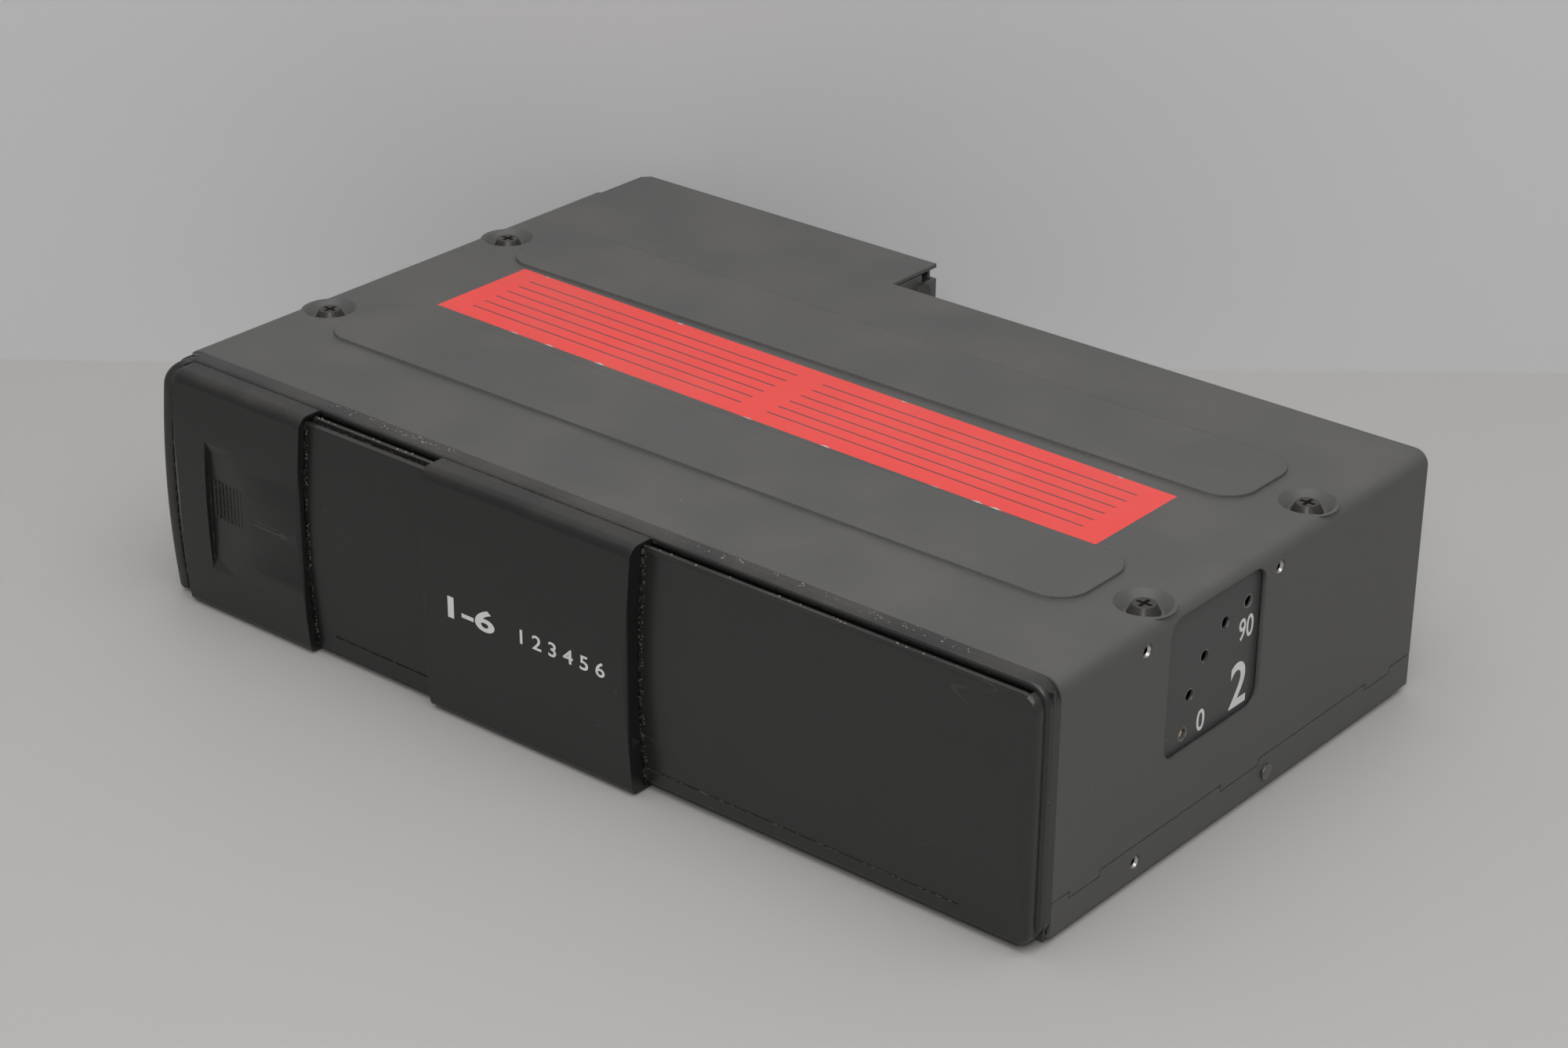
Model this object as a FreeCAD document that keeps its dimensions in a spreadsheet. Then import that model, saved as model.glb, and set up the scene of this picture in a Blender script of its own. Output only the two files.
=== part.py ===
"""Six-disc car CD changer: a parametric FreeCAD document, millimetres.

Everything is drawn in case coordinates: x from the left side, y from the front plane
towards the back, z from the underside of the case. The place() function then moves each
finished piece so that the origin lies under the middle of the whole changer.
"""
import FreeCAD, Part
import math
import os
import re

import Sketcher

DOC = FreeCAD.newDocument("cd_changer")

SIZES = {
    # case
    "case_width": 256.0,
    "case_height": 60.2,
    "body_depth": 148.8,
    "steel": 1.0,
    "foot_height": 1.2,
    "foot_radius": 7.0,
    "foot_inset": 22.0,
    "seam_height": 8.8,
    "seam_gap": 0.3,
    "seam_tab": 1.5,
    "tab_front": 13.5,
    "tab_length": 10.5,
    "tab_middle": 69.5,
    "tab_middle_length": 15.0,
    "tab_back": 19.5,
    "tab_flange": 3.0,
    "cover_bend": 3.5,
    "cover_front": 7.0,
    # rear box
    "rear_depth": 18.0,
    "rear_left": 3.5,
    "rear_width": 99.0,
    "rear_floor": 8.8,
    "rear_chamfer": 2.0,
    "rear_notch": 6.0,
    "rear_notch_drop": 3.0,
    "rear_screw_drop": 5.0,
    # embossing and screws of the cover
    "pad_left": 17.0,
    "pad_width": 26.5,
    "pad_front": 33.5,
    "pad_spacing": 63.5,
    "pad_round": 8.0,
    "pad_rise": 0.7,
    "dimple_radius": 6.6,
    "dimple_depth": 2.4,
    "screw_inset": 7.2,
    "screw_front": 46.0,
    "screw_spacing": 63.0,
    "screw_head": 3.7,
    "screw_head_height": 2.1,
    "screw_shank": 1.45,
    "screw_length": 7.0,
    "slot_width": 0.9,
    # side windows, bracket holes, index plates and levers
    "window_front": 45.8,
    "window_length": 36.2,
    "window_bottom": 24.0,
    "window_round": 4.0,
    "bracket_front": 37.3,
    "bracket_bottom": 4.3,
    "bracket_spacing": 50.2,
    "bracket_hole": 1.65,
    "index_thick": 0.6,
    "index_gap": 0.3,
    "index_hole": 1.35,
    "index_step": 22.5,
    "index_margin": 2.2,
    "index_skirt": 2.5,
    "index_neck": 8.0,
    "index_leg_front": 69.5,
    "index_leg_back": 84.0,
    "lever_y": 77.3,
    "lever_z": 27.3,
    "lever_thick": 1.4,
    "lever_hub": 5.0,
    "lever_tip": 3.6,
    "lever_gap": 0.9,
    "nub_radius": 1.1,
    "pivot_radius": 1.5,
    "running": 0.05,
    "overlap": 0.1,
    "pivot_head": 1.2,
    "pivot_play": 0.6,
    "nub_play": 0.25,
    # front moulding
    "flange_front": 4.5,
    "flange_round": 5.0,
    "lip_depth": 4.0,
    "lip_thick": 1.4,
    "lip_gap": 0.2,
    "face_crown": 1.6,
    "cheek_width": 3.2,
    "cheek_proud": 1.4,
    "panel_left": 146.0,
    "panel_wall": 1.8,
    "panel_bottom": 0.8,
    "panel_cheek": 3.2,
    "panel_round": 3.0,
    "panel_edge": 1.2,
    "rail_front": 0.3,
    "rail_thick": 1.4,
    "rail_height": 3.2,
    "rail_web": 1.8,
    "crease_depth": 0.35,
    "crease_width": 0.5,
    "crease_height": 3.8,
    "crease_end": 18.0,
    # door leaves
    "block_proud": 4.6,
    "leaf_wall": 2.0,
    "leaf_roof": 0.85,
    "leaf_drop": 0.3,
    "leaf_foot": 0.5,
    "leaf_end": 1.6,
    "leaf_round": 3.0,
    "leaf_foot_round": 1.6,
    "leaf_edge_round": 1.2,
    "hook_gap": 0.2,
    "hook_thick": 0.8,
    "hook_reach": 2.8,
    "grip_left": 3.6,
    "grip_width": 46.2,
    "thin_left": 46.0,
    "thin_proud": 2.3,
    "thin_wall": 1.6,
    "thin_bottom": 0.55,
    "centre_left": 89.5,
    "centre_width": 62.3,
    "recess_inset": 14.2,
    "recess_floor": 1.6,
    "recess_ramp": 13.5,
    "recess_bottom": 14.5,
    "recess_height": 27.5,
    "recess_slope": 5.7,
    "recess_depth": 1.3,
    "rib_count": 9,
    "rib_pitch": 1.4,
    "rib_width": 0.6,
    "rib_rise": 0.4,
    "rib_bottom": 26.0,
    "rib_height": 9.6,
    "rib_root": 0.1,
    "rib_least": 0.06,
    # magazine, trays and discs
    "magazine_left": 13.0,
    "magazine_front": 8.6,
    "magazine_floor": 16.0,
    "magazine_wall": 2.0,
    "magazine_round": 3.0,
    "bay_gap": 1.2,
    "disc_bore": 7.5,
    "disc_thick": 1.2,
    "disc_level": 19.5,
    "tray_thick": 2.4,
    "tray_floor": 0.8,
    "tray_gap": 0.4,
    "tray_slot": 16.0,
    "ledge_depth": 1.2,
    "ledge_height": 0.8,
    # eject button
    "button_left": 122.0,
    "button_width": 18.0,
    "button_bottom": 6.8,
    "button_height": 5.2,
    "button_front": 1.6,
    "button_length": 7.6,
    "button_play": 0.3,
    "button_travel": 2.5,
    "spring_radius": 2.2,
    "spring_wire": 0.25,
    # suspended frame
    "frame_left": 11.0,
    "frame_front": 12.0,
    "frame_base": 7.0,
    "frame_steel": 1.2,
    "frame_headroom": 12.0,
    "notch_room": 6.0,
    "frame_hole_round": 4.0,
    "gear_hole": 2.2,
    "gear_shaft": 1.5,
    "damper_left": 20.0,
    "damper_front": 19.0,
    "damper_radius": 5.5,
    "damper_neck": 3.4,
    "damper_cap": 2.0,
    "damper_pin": 1.5,
    "coil_radius": 7.2,
    "coil_wire": 0.5,
    "coil_turns": 2,
    # lift carriage
    "deck_front": 13.5,
    "deck_steel": 1.2,
        "post_radius": 2.0,
    "post_inset_left": 3.5,
    "post_inset_right": 4.5,
    "post_front_left": 10.5,
    "post_front_right": 15.5,
    "post_back_right": 9.0,
    "post_back_left": 5.0,
    "bush_radius": 4.0,
    "bush_height": 5.0,
    "spindle_motor": 9.5,
    "spindle_motor_height": 6.6,
    "spindle_shaft": 1.0,
    "turntable_radius": 13.0,
    "turntable_thick": 1.6,
    "cone_radius": 7.3,
    "cone_height": 1.6,
    "arm_thick": 1.2,
    "arm_front": 18.5,
    "arm_back": 16.0,
    "arm_rise": 7.6,
    "arm_pin": 1.1,
    "puck_radius": 12.0,
    "puck_thick": 2.0,
    "puck_gap": 0.1,
    # pickup
    "rod_radius": 1.25,
    "rod_spread": 36.0,
    "rod_drop": 3.2,
    "rod_end": 2.0,
    "sled_length": 19.0,
    "sled_thick": 5.6,
    "sled_overhang": 3.0,
    "lens_lead": 6.0,
    "lens_radius": 3.0,
    "lens_inner": 24.0,
    "screw_x_offset": 26.0,
    "lead_radius": 1.4,
    "lead_motor": 4.5,
    # lift drive
    "cam_thick": 1.2,
    "cam_front": 43.0,
    "cam_bottom": 10.2,
    "pin_radius": 1.5,
    "pin_z": 19.0,
    "cam_ratio": 1.25,
    "rack_depth": 3.6,
    "rack_thick": 1.8,
    "tooth_module": 1.0,
    "tooth_count": 16,
    "cam_play": 0.3,
    "gear_thick": 2.6,
    "gear_play": 0.2,
    "lift_motor": 10.0,
    # boards
    "board_thick": 1.6,
    "board_lift": 2.0,
    "board_left": 46.0,
    "board_front": 34.0,
    "chip_height": 1.6,
    "socket_width": 30.0,
    "socket_height": 12.0,
    "socket_depth": 11.0,
    "socket_wall": 1.4,
    "socket_left": 24.0,
    "socket_bottom": 22.0,
    # clearances that tie pieces to one another
    "panel_drop": 1.5,
    "thin_drop": 2.1,
    "window_drop": 2.7,
    "index_share": 0.678,
    "pad_trim": 1.0,
    "disc_surround": 28.8,
    "tray_surround": 8.0,
    "magazine_behind": 8.2,
    "frame_behind": 5.8,
    "damper_inset_right": 19.0,
    "damper_inset": 8.0,
    "disc_stack_margin": 32.2,
    "cam_headroom": 6.2,
    "post_headroom": 3.7,
    "cam_inset": 14.6,
    "cam_behind": 8.8,
    "pin_inset": 7.0,
    "pin_margin": 47.0,
    "deck_gap": 6.0,
    "deck_inset": 16.0,
    "deck_behind": 9.8,
    "arm_inset": 21.0,
    "disc_back_shift": 3.4,
    "board_behind": 28.8,
    "sled_reach_left": 21.0,
    "sled_reach_right": 29.4,
    "post_zone": 6.5,
    "play_share": 0.25,
    "lens_margin": 31.5,
    "board_gap": 25.0,
    "gear_behind": 43.0,
    "bracket_drop": 5.7,
    # transport screws
    "transport_left": 60.0,
    "transport_front": 24.0,
    "transport_middle": 60.0,
    "transport_offset": 9.0,
    "transport_behind": 16.0,
    "transport_radius": 5.6,
    "transport_sink": 2.6,
    "transport_hole": 2.1,
}

SHEET = DOC.addObject("Spreadsheet::Sheet", "Sizes")
for sheet_row, (alias, size) in enumerate(SIZES.items(), 1):
    SHEET.set(f"A{sheet_row}", alias)
    SHEET.set(f"B{sheet_row}", str(size))
    SHEET.setAlias(f"B{sheet_row}", alias)
DOC.recompute()

WORD = re.compile(r"[A-Za-z_][A-Za-z_0-9]*")
NODES = []

# Sizes that follow from others, as expressions on the sheet.
PANEL_TOP = "(case_height - panel_drop)"
THIN_TOP = "(case_height - thin_drop)"
WINDOW_HEIGHT = "(case_height - window_bottom - window_drop)"
INDEX_RADIUS = "(index_share * (case_height - window_bottom - window_drop))"
PAD_LENGTH = "(case_width - 2 * pad_left - pad_trim)"
DISC_RADIUS = "((body_depth - disc_surround) / 2)"
MAGAZINE_WIDTH = "(body_depth - disc_surround + tray_surround)"
MAGAZINE_DEPTH = "(body_depth - magazine_front - magazine_behind)"
FRAME_RIGHT = "(case_width - frame_left)"
FRAME_BACK = "(body_depth - frame_behind)"
DAMPER_RIGHT = "(case_width - frame_left - damper_inset_right)"
DAMPER_BACK = "(body_depth - frame_behind - damper_inset)"
DISC_PITCH = "((case_height - disc_stack_margin) / 5)"
LIFT_TRAVEL = "(case_height - disc_stack_margin)"
CAM_TOP = "(case_height - cam_headroom)"
POST_TOP = "(case_height - post_headroom)"
CAM_X = "(case_width - cam_inset)"
CAM_LENGTH = "(body_depth - cam_front - cam_behind)"
PIN_FRONT = "(cam_front + pin_inset)"
PIN_SPACING = "(body_depth - cam_front - cam_behind - pin_margin)"
DECK_LEFT = "(magazine_left + body_depth - disc_surround + tray_surround + deck_gap)"
DECK_RIGHT = "(case_width - deck_inset)"
DECK_BACK = "(body_depth - deck_behind)"
ARM_PIVOT_X = "(case_width - arm_inset)"
PLAY_Y = "(magazine_front + (body_depth - magazine_front - magazine_behind) / 2 + disc_back_shift)"
BOARD_DEPTH = "(body_depth - board_front - board_behind)"
PLAY_X = (f"({DECK_LEFT} + sled_reach_left + post_zone + play_share * ({DECK_RIGHT} - {DECK_LEFT}"
          " - sled_reach_left - sled_reach_right - 2 * post_zone))")
PICKUP_TRAVEL = f"({PLAY_Y} - deck_front - lens_margin)"

# Places that many pieces share, as expressions on the sheet.
FRONT_PLANE = "(block_proud + face_crown - body_depth - rear_depth) / 2"
LEAF_TOP = "(case_height - leaf_drop)"
LEAF_BOTTOM = "(0 - leaf_foot)"
GROOVE_FLOOR = f"({PANEL_TOP} - rail_height)"
GROOVE_CEILING = "(panel_bottom + rail_height)"
HOOK_FRONT = "(rail_thick + hook_gap)"
HOOK_BACK = "(rail_thick + hook_gap + hook_thick)"
BACK = "body_depth"
COVER_INSIDE = "(case_height - steel)"
FRAME_TOP = "(frame_base + frame_steel)"
DECK_TOP = "(disc_level - turntable_thick - 1)"
DECK_BOTTOM = f"({DECK_TOP} - deck_steel)"
MAGAZINE_TOP = f"(disc_level + 5 * {DISC_PITCH} - tray_floor + tray_thick + tray_gap + magazine_wall)"
MAGAZINE_RIGHT = f"(magazine_left + {MAGAZINE_WIDTH})"
MAGAZINE_BACK = f"(magazine_front + {MAGAZINE_DEPTH})"
DISC_X = f"(magazine_left + {MAGAZINE_WIDTH} / 2)"
DISC_COUNT = 6
POSTS = [
    (f"({DECK_LEFT} + post_inset_left)", "(deck_front + post_front_left)"),
    (f"({DECK_RIGHT} - post_inset_right)", "(deck_front + post_front_right)"),
    (f"({DECK_RIGHT} - post_inset_right)", f"({DECK_BACK} - post_back_right)"),
    (f"({DECK_LEFT} + post_inset_left)", f"({DECK_BACK} - post_back_left)")]
GEAR_X = f"({CAM_X} + cam_thick - rack_depth - tooth_module * tooth_count / 2)"
GEAR_Y = f"(cam_front + {CAM_LENGTH} - gear_behind)"
BOARD_WIDTH = f"({GEAR_X} - lift_motor - board_gap - board_left)"
ROD_Z = f"({DECK_BOTTOM} - rod_drop)"
ROD_PLACES = [f"({PLAY_X} - rod_spread / 2)", f"({PLAY_X} + rod_spread / 2)"]
LEAD_X = f"({PLAY_X} + screw_x_offset)"
LENS_Y = f"({PLAY_Y} - lens_inner)"
SLED_FRONT = f"({LENS_Y} - lens_lead)"
SLED_BACK = f"({SLED_FRONT} + sled_length)"
ROD_FRONT = f"({SLED_FRONT} - {PICKUP_TRAVEL} - rod_end)"
ROD_BACK = f"({SLED_BACK} + rod_end)"
ARM_FRONT = "(deck_front + arm_front)"
ARM_BACK = f"({DECK_BACK} - arm_back)"
ARM_Z = f"({DECK_TOP} + arm_rise)"
PIVOT_Z = f"({ARM_Z} + arm_thick / 2)"
WIRE_SIDES = 4


def bind(expression):
    """Write an expression on the aliases so that FreeCAD reads it from the sheet."""
    return WORD.sub(lambda match: "Sizes." + match.group() if match.group() in SIZES
                    else match.group(), str(expression))


def value(expression):
    """Work out an expression on the aliases as a number."""
    return float(SHEET.evalExpression(bind(expression)))


def place(solid, label):
    """Name a finished piece and move it from case coordinates to the changer's own frame."""
    if solid.TypeId in ("Part::Box", "Part::Cylinder", "Part::Cone", "Part::Feature"):
        solid = group([solid])
    solid.Label = label
    solid.setExpression("Placement.Base.x", bind("0 - (case_width + screw_head_height / 2) / 2"))
    solid.setExpression("Placement.Base.y", bind(FRONT_PLANE))
    solid.setExpression("Placement.Base.z", bind("foot_height"))
    NODES.append(solid)
    return solid


def box(x_span, y_span, z_span, name="block"):
    """Add a box between two corners, each span a (low, high) pair of expressions."""
    solid = DOC.addObject("Part::Box", name)
    for side, axis, (low, high) in zip(("Length", "Width", "Height"), "xyz",
                                       (x_span, y_span, z_span)):
        solid.setExpression(side, bind(f"({high}) - ({low})"))
        solid.setExpression(f"Placement.Base.{axis}", bind(low))
    return solid


TURNS = {
    "x": FreeCAD.Rotation(FreeCAD.Vector(0, 1, 0), 90),
    "y": FreeCAD.Rotation(FreeCAD.Vector(1, 0, 0), -90),
    "z": FreeCAD.Rotation(),
}


def rod(axis, radius, first, second, span, name="rod"):
    """Add a cylinder along an axis; first and second are its other two coordinates."""
    solid = DOC.addObject("Part::Cylinder", name)
    solid.Placement = FreeCAD.Placement(FreeCAD.Vector(), TURNS[axis])
    solid.setExpression("Radius", bind(radius))
    solid.setExpression("Height", bind(f"({span[1]}) - ({span[0]})"))
    across = iter((first, second))
    for letter in "xyz":
        place_at = span[0] if letter == axis else next(across)
        solid.setExpression(f"Placement.Base.{letter}", bind(place_at))
    return solid


def cone(low_radius, high_radius, x, y, z_span, name="cone"):
    """Add an upright cone."""
    solid = DOC.addObject("Part::Cone", name)
    solid.setExpression("Radius1", bind(low_radius))
    solid.setExpression("Radius2", bind(high_radius))
    solid.setExpression("Height", bind(f"({z_span[1]}) - ({z_span[0]})"))
    for letter, place_at in zip("xyz", (x, y, z_span[0])):
        solid.setExpression(f"Placement.Base.{letter}", bind(place_at))
    return solid


def fuse(solids, name="joined"):
    """Join solids into one."""
    if len(solids) == 1:
        return solids[0]
    joined = DOC.addObject("Part::MultiFuse", name)
    joined.Shapes = solids
    return joined


def cut(base, tools, name="cut"):
    """Cut the tools out of a base."""
    result = DOC.addObject("Part::Cut", name)
    result.Base = base
    result.Tool = fuse(tools)
    return result


def group(solids, name="group"):
    """Keep separate solids together in one piece of the list."""
    result = DOC.addObject("Part::Compound", name)
    result.Links = solids
    return result


def rectangle(left, right, low, high):
    """Outline of a rectangle, anticlockwise."""
    return [(left, low), (right, low), (right, high), (left, high)]


def round_rectangle(left, right, low, high, radius):
    """Outline of a rectangle with round corners: each quarter circle is a bowed edge."""
    bow = f"(({radius}) * (1 - sqrt(0.5)))"
    return [
        (f"({left}) + ({radius})", low), (f"({right}) - ({radius})", low, bow),
        (right, f"({low}) + ({radius})"), (right, f"({high}) - ({radius})", bow),
        (f"({right}) - ({radius})", high), (f"({left}) + ({radius})", high, bow),
        (left, f"({high}) - ({radius})"), (left, f"({low}) + ({radius})", bow),
    ]


def crowned(front, top, bottom, top_round, bottom_round):
    """Front of a barrel-faced section: round top edge, bowed face, round bottom edge."""
    def bow(radius):
        return f"{radius} * (1 - sqrt(0.5))"
    return [
        (f"{front} + {top_round}", top, bow(top_round)),
        (front, f"{top} - {top_round}", "face_crown"),
        (front, f"{bottom} + {bottom_round}", bow(bottom_round)),
        (f"{front} + {bottom_round}", bottom)]


class Body:
    """A PartDesign body built from bound sketches."""

    # Sketch normal as a sign along the world axis that each plane faces.
    PLANES = {"XY": 1, "XZ": -1, "YZ": 1}

    def __init__(self, name):
        self.body = DOC.addObject("PartDesign::Body", name)
        self.name = name
        self.planes = {face.Role[:2]: face for face in self.body.Origin.OriginFeatures
                       if face.Role.endswith("_Plane")}

    def sketch(self, plane, height, outlines):
        """Draw closed outlines on a plane; height is its place along the world axis."""
        drawing = self.body.newObject("Sketcher::SketchObject", f"{self.name}_sketch")
        drawing.AttachmentSupport = [(self.planes[plane], "")]
        drawing.MapMode = "FlatFace"
        offset = height if self.PLANES[plane] > 0 else f"0 - ({height})"
        drawing.setExpression("AttachmentOffset.Base.z", bind(offset))
        for outline in outlines:
            if outline[0] == "circle":
                self.circle(drawing, *outline[1:])
            else:
                self.polygon(drawing, outline)
        return drawing

    @staticmethod
    def fix(drawing, kind, place_on, expression):
        """Add one dimension and bind it to the sheet."""
        index = drawing.addConstraint(Sketcher.Constraint(kind, *place_on, value(expression)))
        drawing.setExpression(f"Constraints[{index}]", bind(expression))

    def circle(self, drawing, x, y, radius):
        """Draw a full circle."""
        centre = FreeCAD.Vector(value(x), value(y), 0)
        ring = Part.Circle(centre, FreeCAD.Vector(0, 0, 1), value(radius))
        index = drawing.addGeometry(ring, False)
        self.fix(drawing, "Radius", (index,), radius)
        self.fix(drawing, "DistanceX", (index, 3), x)
        self.fix(drawing, "DistanceY", (index, 3), y)

    def polygon(self, drawing, outline):
        """Draw a closed outline of (x, y) or (x, y, bow) corners.

        A bow makes the edge that leaves its corner an arc, which stands out to the right
        of the way along the outline by that much, or to the left when it starts with "-".
        """
        first = drawing.GeometryCount
        count = len(outline)
        ends = []
        for index, corner in enumerate(outline):
            after = outline[(index + 1) % count]
            start = FreeCAD.Vector(value(corner[0]), value(corner[1]), 0)
            end = FreeCAD.Vector(value(after[0]), value(after[1]), 0)
            if len(corner) == 2:
                drawing.addGeometry(Part.LineSegment(start, end), False)
                ends.append((1, 2))
                continue
            left = str(corner[2]).startswith("-")
            bow = str(corner[2]).lstrip("-")
            along = end - start
            right = FreeCAD.Vector(along.y, -along.x, 0).normalize()
            sign = -1 if left else 1
            middle = (start + end) * 0.5 + right * (sign * value(bow))
            radius = (along.Length ** 2 / 4 + value(bow) ** 2) / (2 * value(bow))
            centre = middle - right * (sign * radius)
            angles = [math.atan2(point.y - centre.y, point.x - centre.x)
                      for point in ((end, start) if left else (start, end))]
            if angles[1] < angles[0]:
                angles[1] += 2 * math.pi
            ring = Part.Circle(centre, FreeCAD.Vector(0, 0, 1), radius)
            drawing.addGeometry(Part.ArcOfCircle(ring, *angles), False)
            ends.append((2, 1) if left else (1, 2))
            span = (f"((({after[0]}) - ({corner[0]})) ^ 2"
                    f" + (({after[1]}) - ({corner[1]})) ^ 2)")
            self.fix(drawing, "Radius", (first + index,),
                     f"({span} / 4 + ({bow}) ^ 2) / (2 * ({bow}))")
        for index in range(count):
            after = (index + 1) % count
            drawing.addConstraint(Sketcher.Constraint(
                "Coincident", first + index, ends[index][1], first + after, ends[after][0]))
        for index, corner in enumerate(outline):
            spot = (first + index, ends[index][0])
            self.fix(drawing, "DistanceX", spot, corner[0])
            self.fix(drawing, "DistanceY", spot, corner[1])

    def pad(self, plane, span, *outlines):
        """Add material between two heights of a plane's axis."""
        start = span[0] if self.PLANES[plane] > 0 else span[1]
        feature = self.body.newObject("PartDesign::Pad", f"{self.name}_pad")
        feature.Profile = self.sketch(plane, start, outlines)
        feature.setExpression("Length", bind(f"({span[1]}) - ({span[0]})"))

    def pocket(self, plane, span, *outlines):
        """Take material away between two heights of a plane's axis."""
        DOC.recompute()
        before = self.body.Shape.Volume
        start = span[1] if self.PLANES[plane] > 0 else span[0]
        feature = self.body.newObject("PartDesign::Pocket", f"{self.name}_pocket")
        feature.Profile = self.sketch(plane, start, outlines)
        feature.setExpression("Length", bind(f"({span[1]}) - ({span[0]})"))
        DOC.recompute()
        if not self.body.Shape.Volume < before:
            raise RuntimeError(f"a pocket of {self.name} cuts nothing")

    def round_corner(self, plane, span, corner, outward, radius):
        """Round one corner of the outline seen on a plane, through a span of heights."""
        (across, along), (side_across, side_along) = corner, outward
        beyond = "1.5"
        edge_across = f"{across} - ({side_across}) * ({radius})"
        edge_along = f"{along} - ({side_along}) * ({radius})"
        far_across = f"{across} + ({side_across}) * {beyond}"
        far_along = f"{along} + ({side_along}) * {beyond}"
        sign = "" if side_across * side_along > 0 else "-"
        self.pocket(plane, span, [
            (far_across, far_along), (far_across, edge_along),
            (across, edge_along, f"{sign}({radius}) * (1 - sqrt(0.5))"),
            (edge_across, along), (edge_across, far_along)])

    def loft_cut(self, plane, heights, outlines):
        """Cut the ruled space between outlines drawn at two heights."""
        DOC.recompute()
        before = self.body.Shape.Volume
        feature = self.body.newObject("PartDesign::SubtractiveLoft", f"{self.name}_loft")
        sections = [self.sketch(plane, height, [outline])
                    for height, outline in zip(heights, outlines)]
        feature.Profile = sections[0]
        feature.Sections = sections[1:]
        feature.Ruled = True
        DOC.recompute()
        if not self.body.Shape.Volume < before:
            raise RuntimeError(f"a loft of {self.name} cuts nothing")

    def fillet(self, radius, *places):
        """Round edges; each place is a dict of the coordinates that both ends share."""
        DOC.recompute()
        tip = self.body.Tip
        names = []
        for number, edge in enumerate(tip.Shape.Edges, 1):
            for wanted in places:
                if all(abs(getattr(vertex.Point, axis) - value(where)) < 0.01
                       for vertex in edge.Vertexes for axis, where in wanted.items()):
                    names.append(f"Edge{number}")
                    break
        if not names:
            raise RuntimeError(f"no edge to round on {self.name}")
        feature = self.body.newObject("PartDesign::Fillet", f"{self.name}_fillet")
        feature.Base = (tip, names)
        feature.setExpression("Radius", bind(radius))
        DOC.recompute()


def both_sides(inset):
    """The two x places at the same inset from the left and right sides."""
    return (inset, f"(case_width - ({inset}))")


def side_span(left, near, far):
    """An x span measured inwards from the left side, or its mirror on the right."""
    if left:
        return (near, far)
    return (f"case_width - ({far})", f"case_width - ({near})")


def tab_spans():
    """The y spans of the seam's tabs along each side."""
    return [(start, f"({start} + {length})") for start, length in (
        ("tab_front", "tab_length"), ("tab_middle", "tab_middle_length"),
        ("(body_depth - tab_back)", "tab_length"))]


def cover_screw_places():
    """The x and y of the four cover screws."""
    return [(x, y) for x in both_sides("screw_inset")
            for y in ("screw_front", "(screw_front + screw_spacing)")]


def transport_places():
    """The x and y of the three transport screws."""
    return [("transport_left", "transport_front"),
            (f"({LEAD_X} + transport_offset)", "transport_middle"),
            ("case_width / 2", "(body_depth - transport_behind)")]


def damper_places():
    """The x and y of the four dampers."""
    return [(x, y) for x in ("damper_left", DAMPER_RIGHT)
            for y in ("damper_front", DAMPER_BACK)]


def bracket_places():
    """The y and z of the four bracket holes on each side."""
    return [(y, z) for y in ("bracket_front", "(bracket_front + bracket_spacing)")
            for z in ("bracket_bottom", "(case_height - bracket_drop)")]


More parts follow.
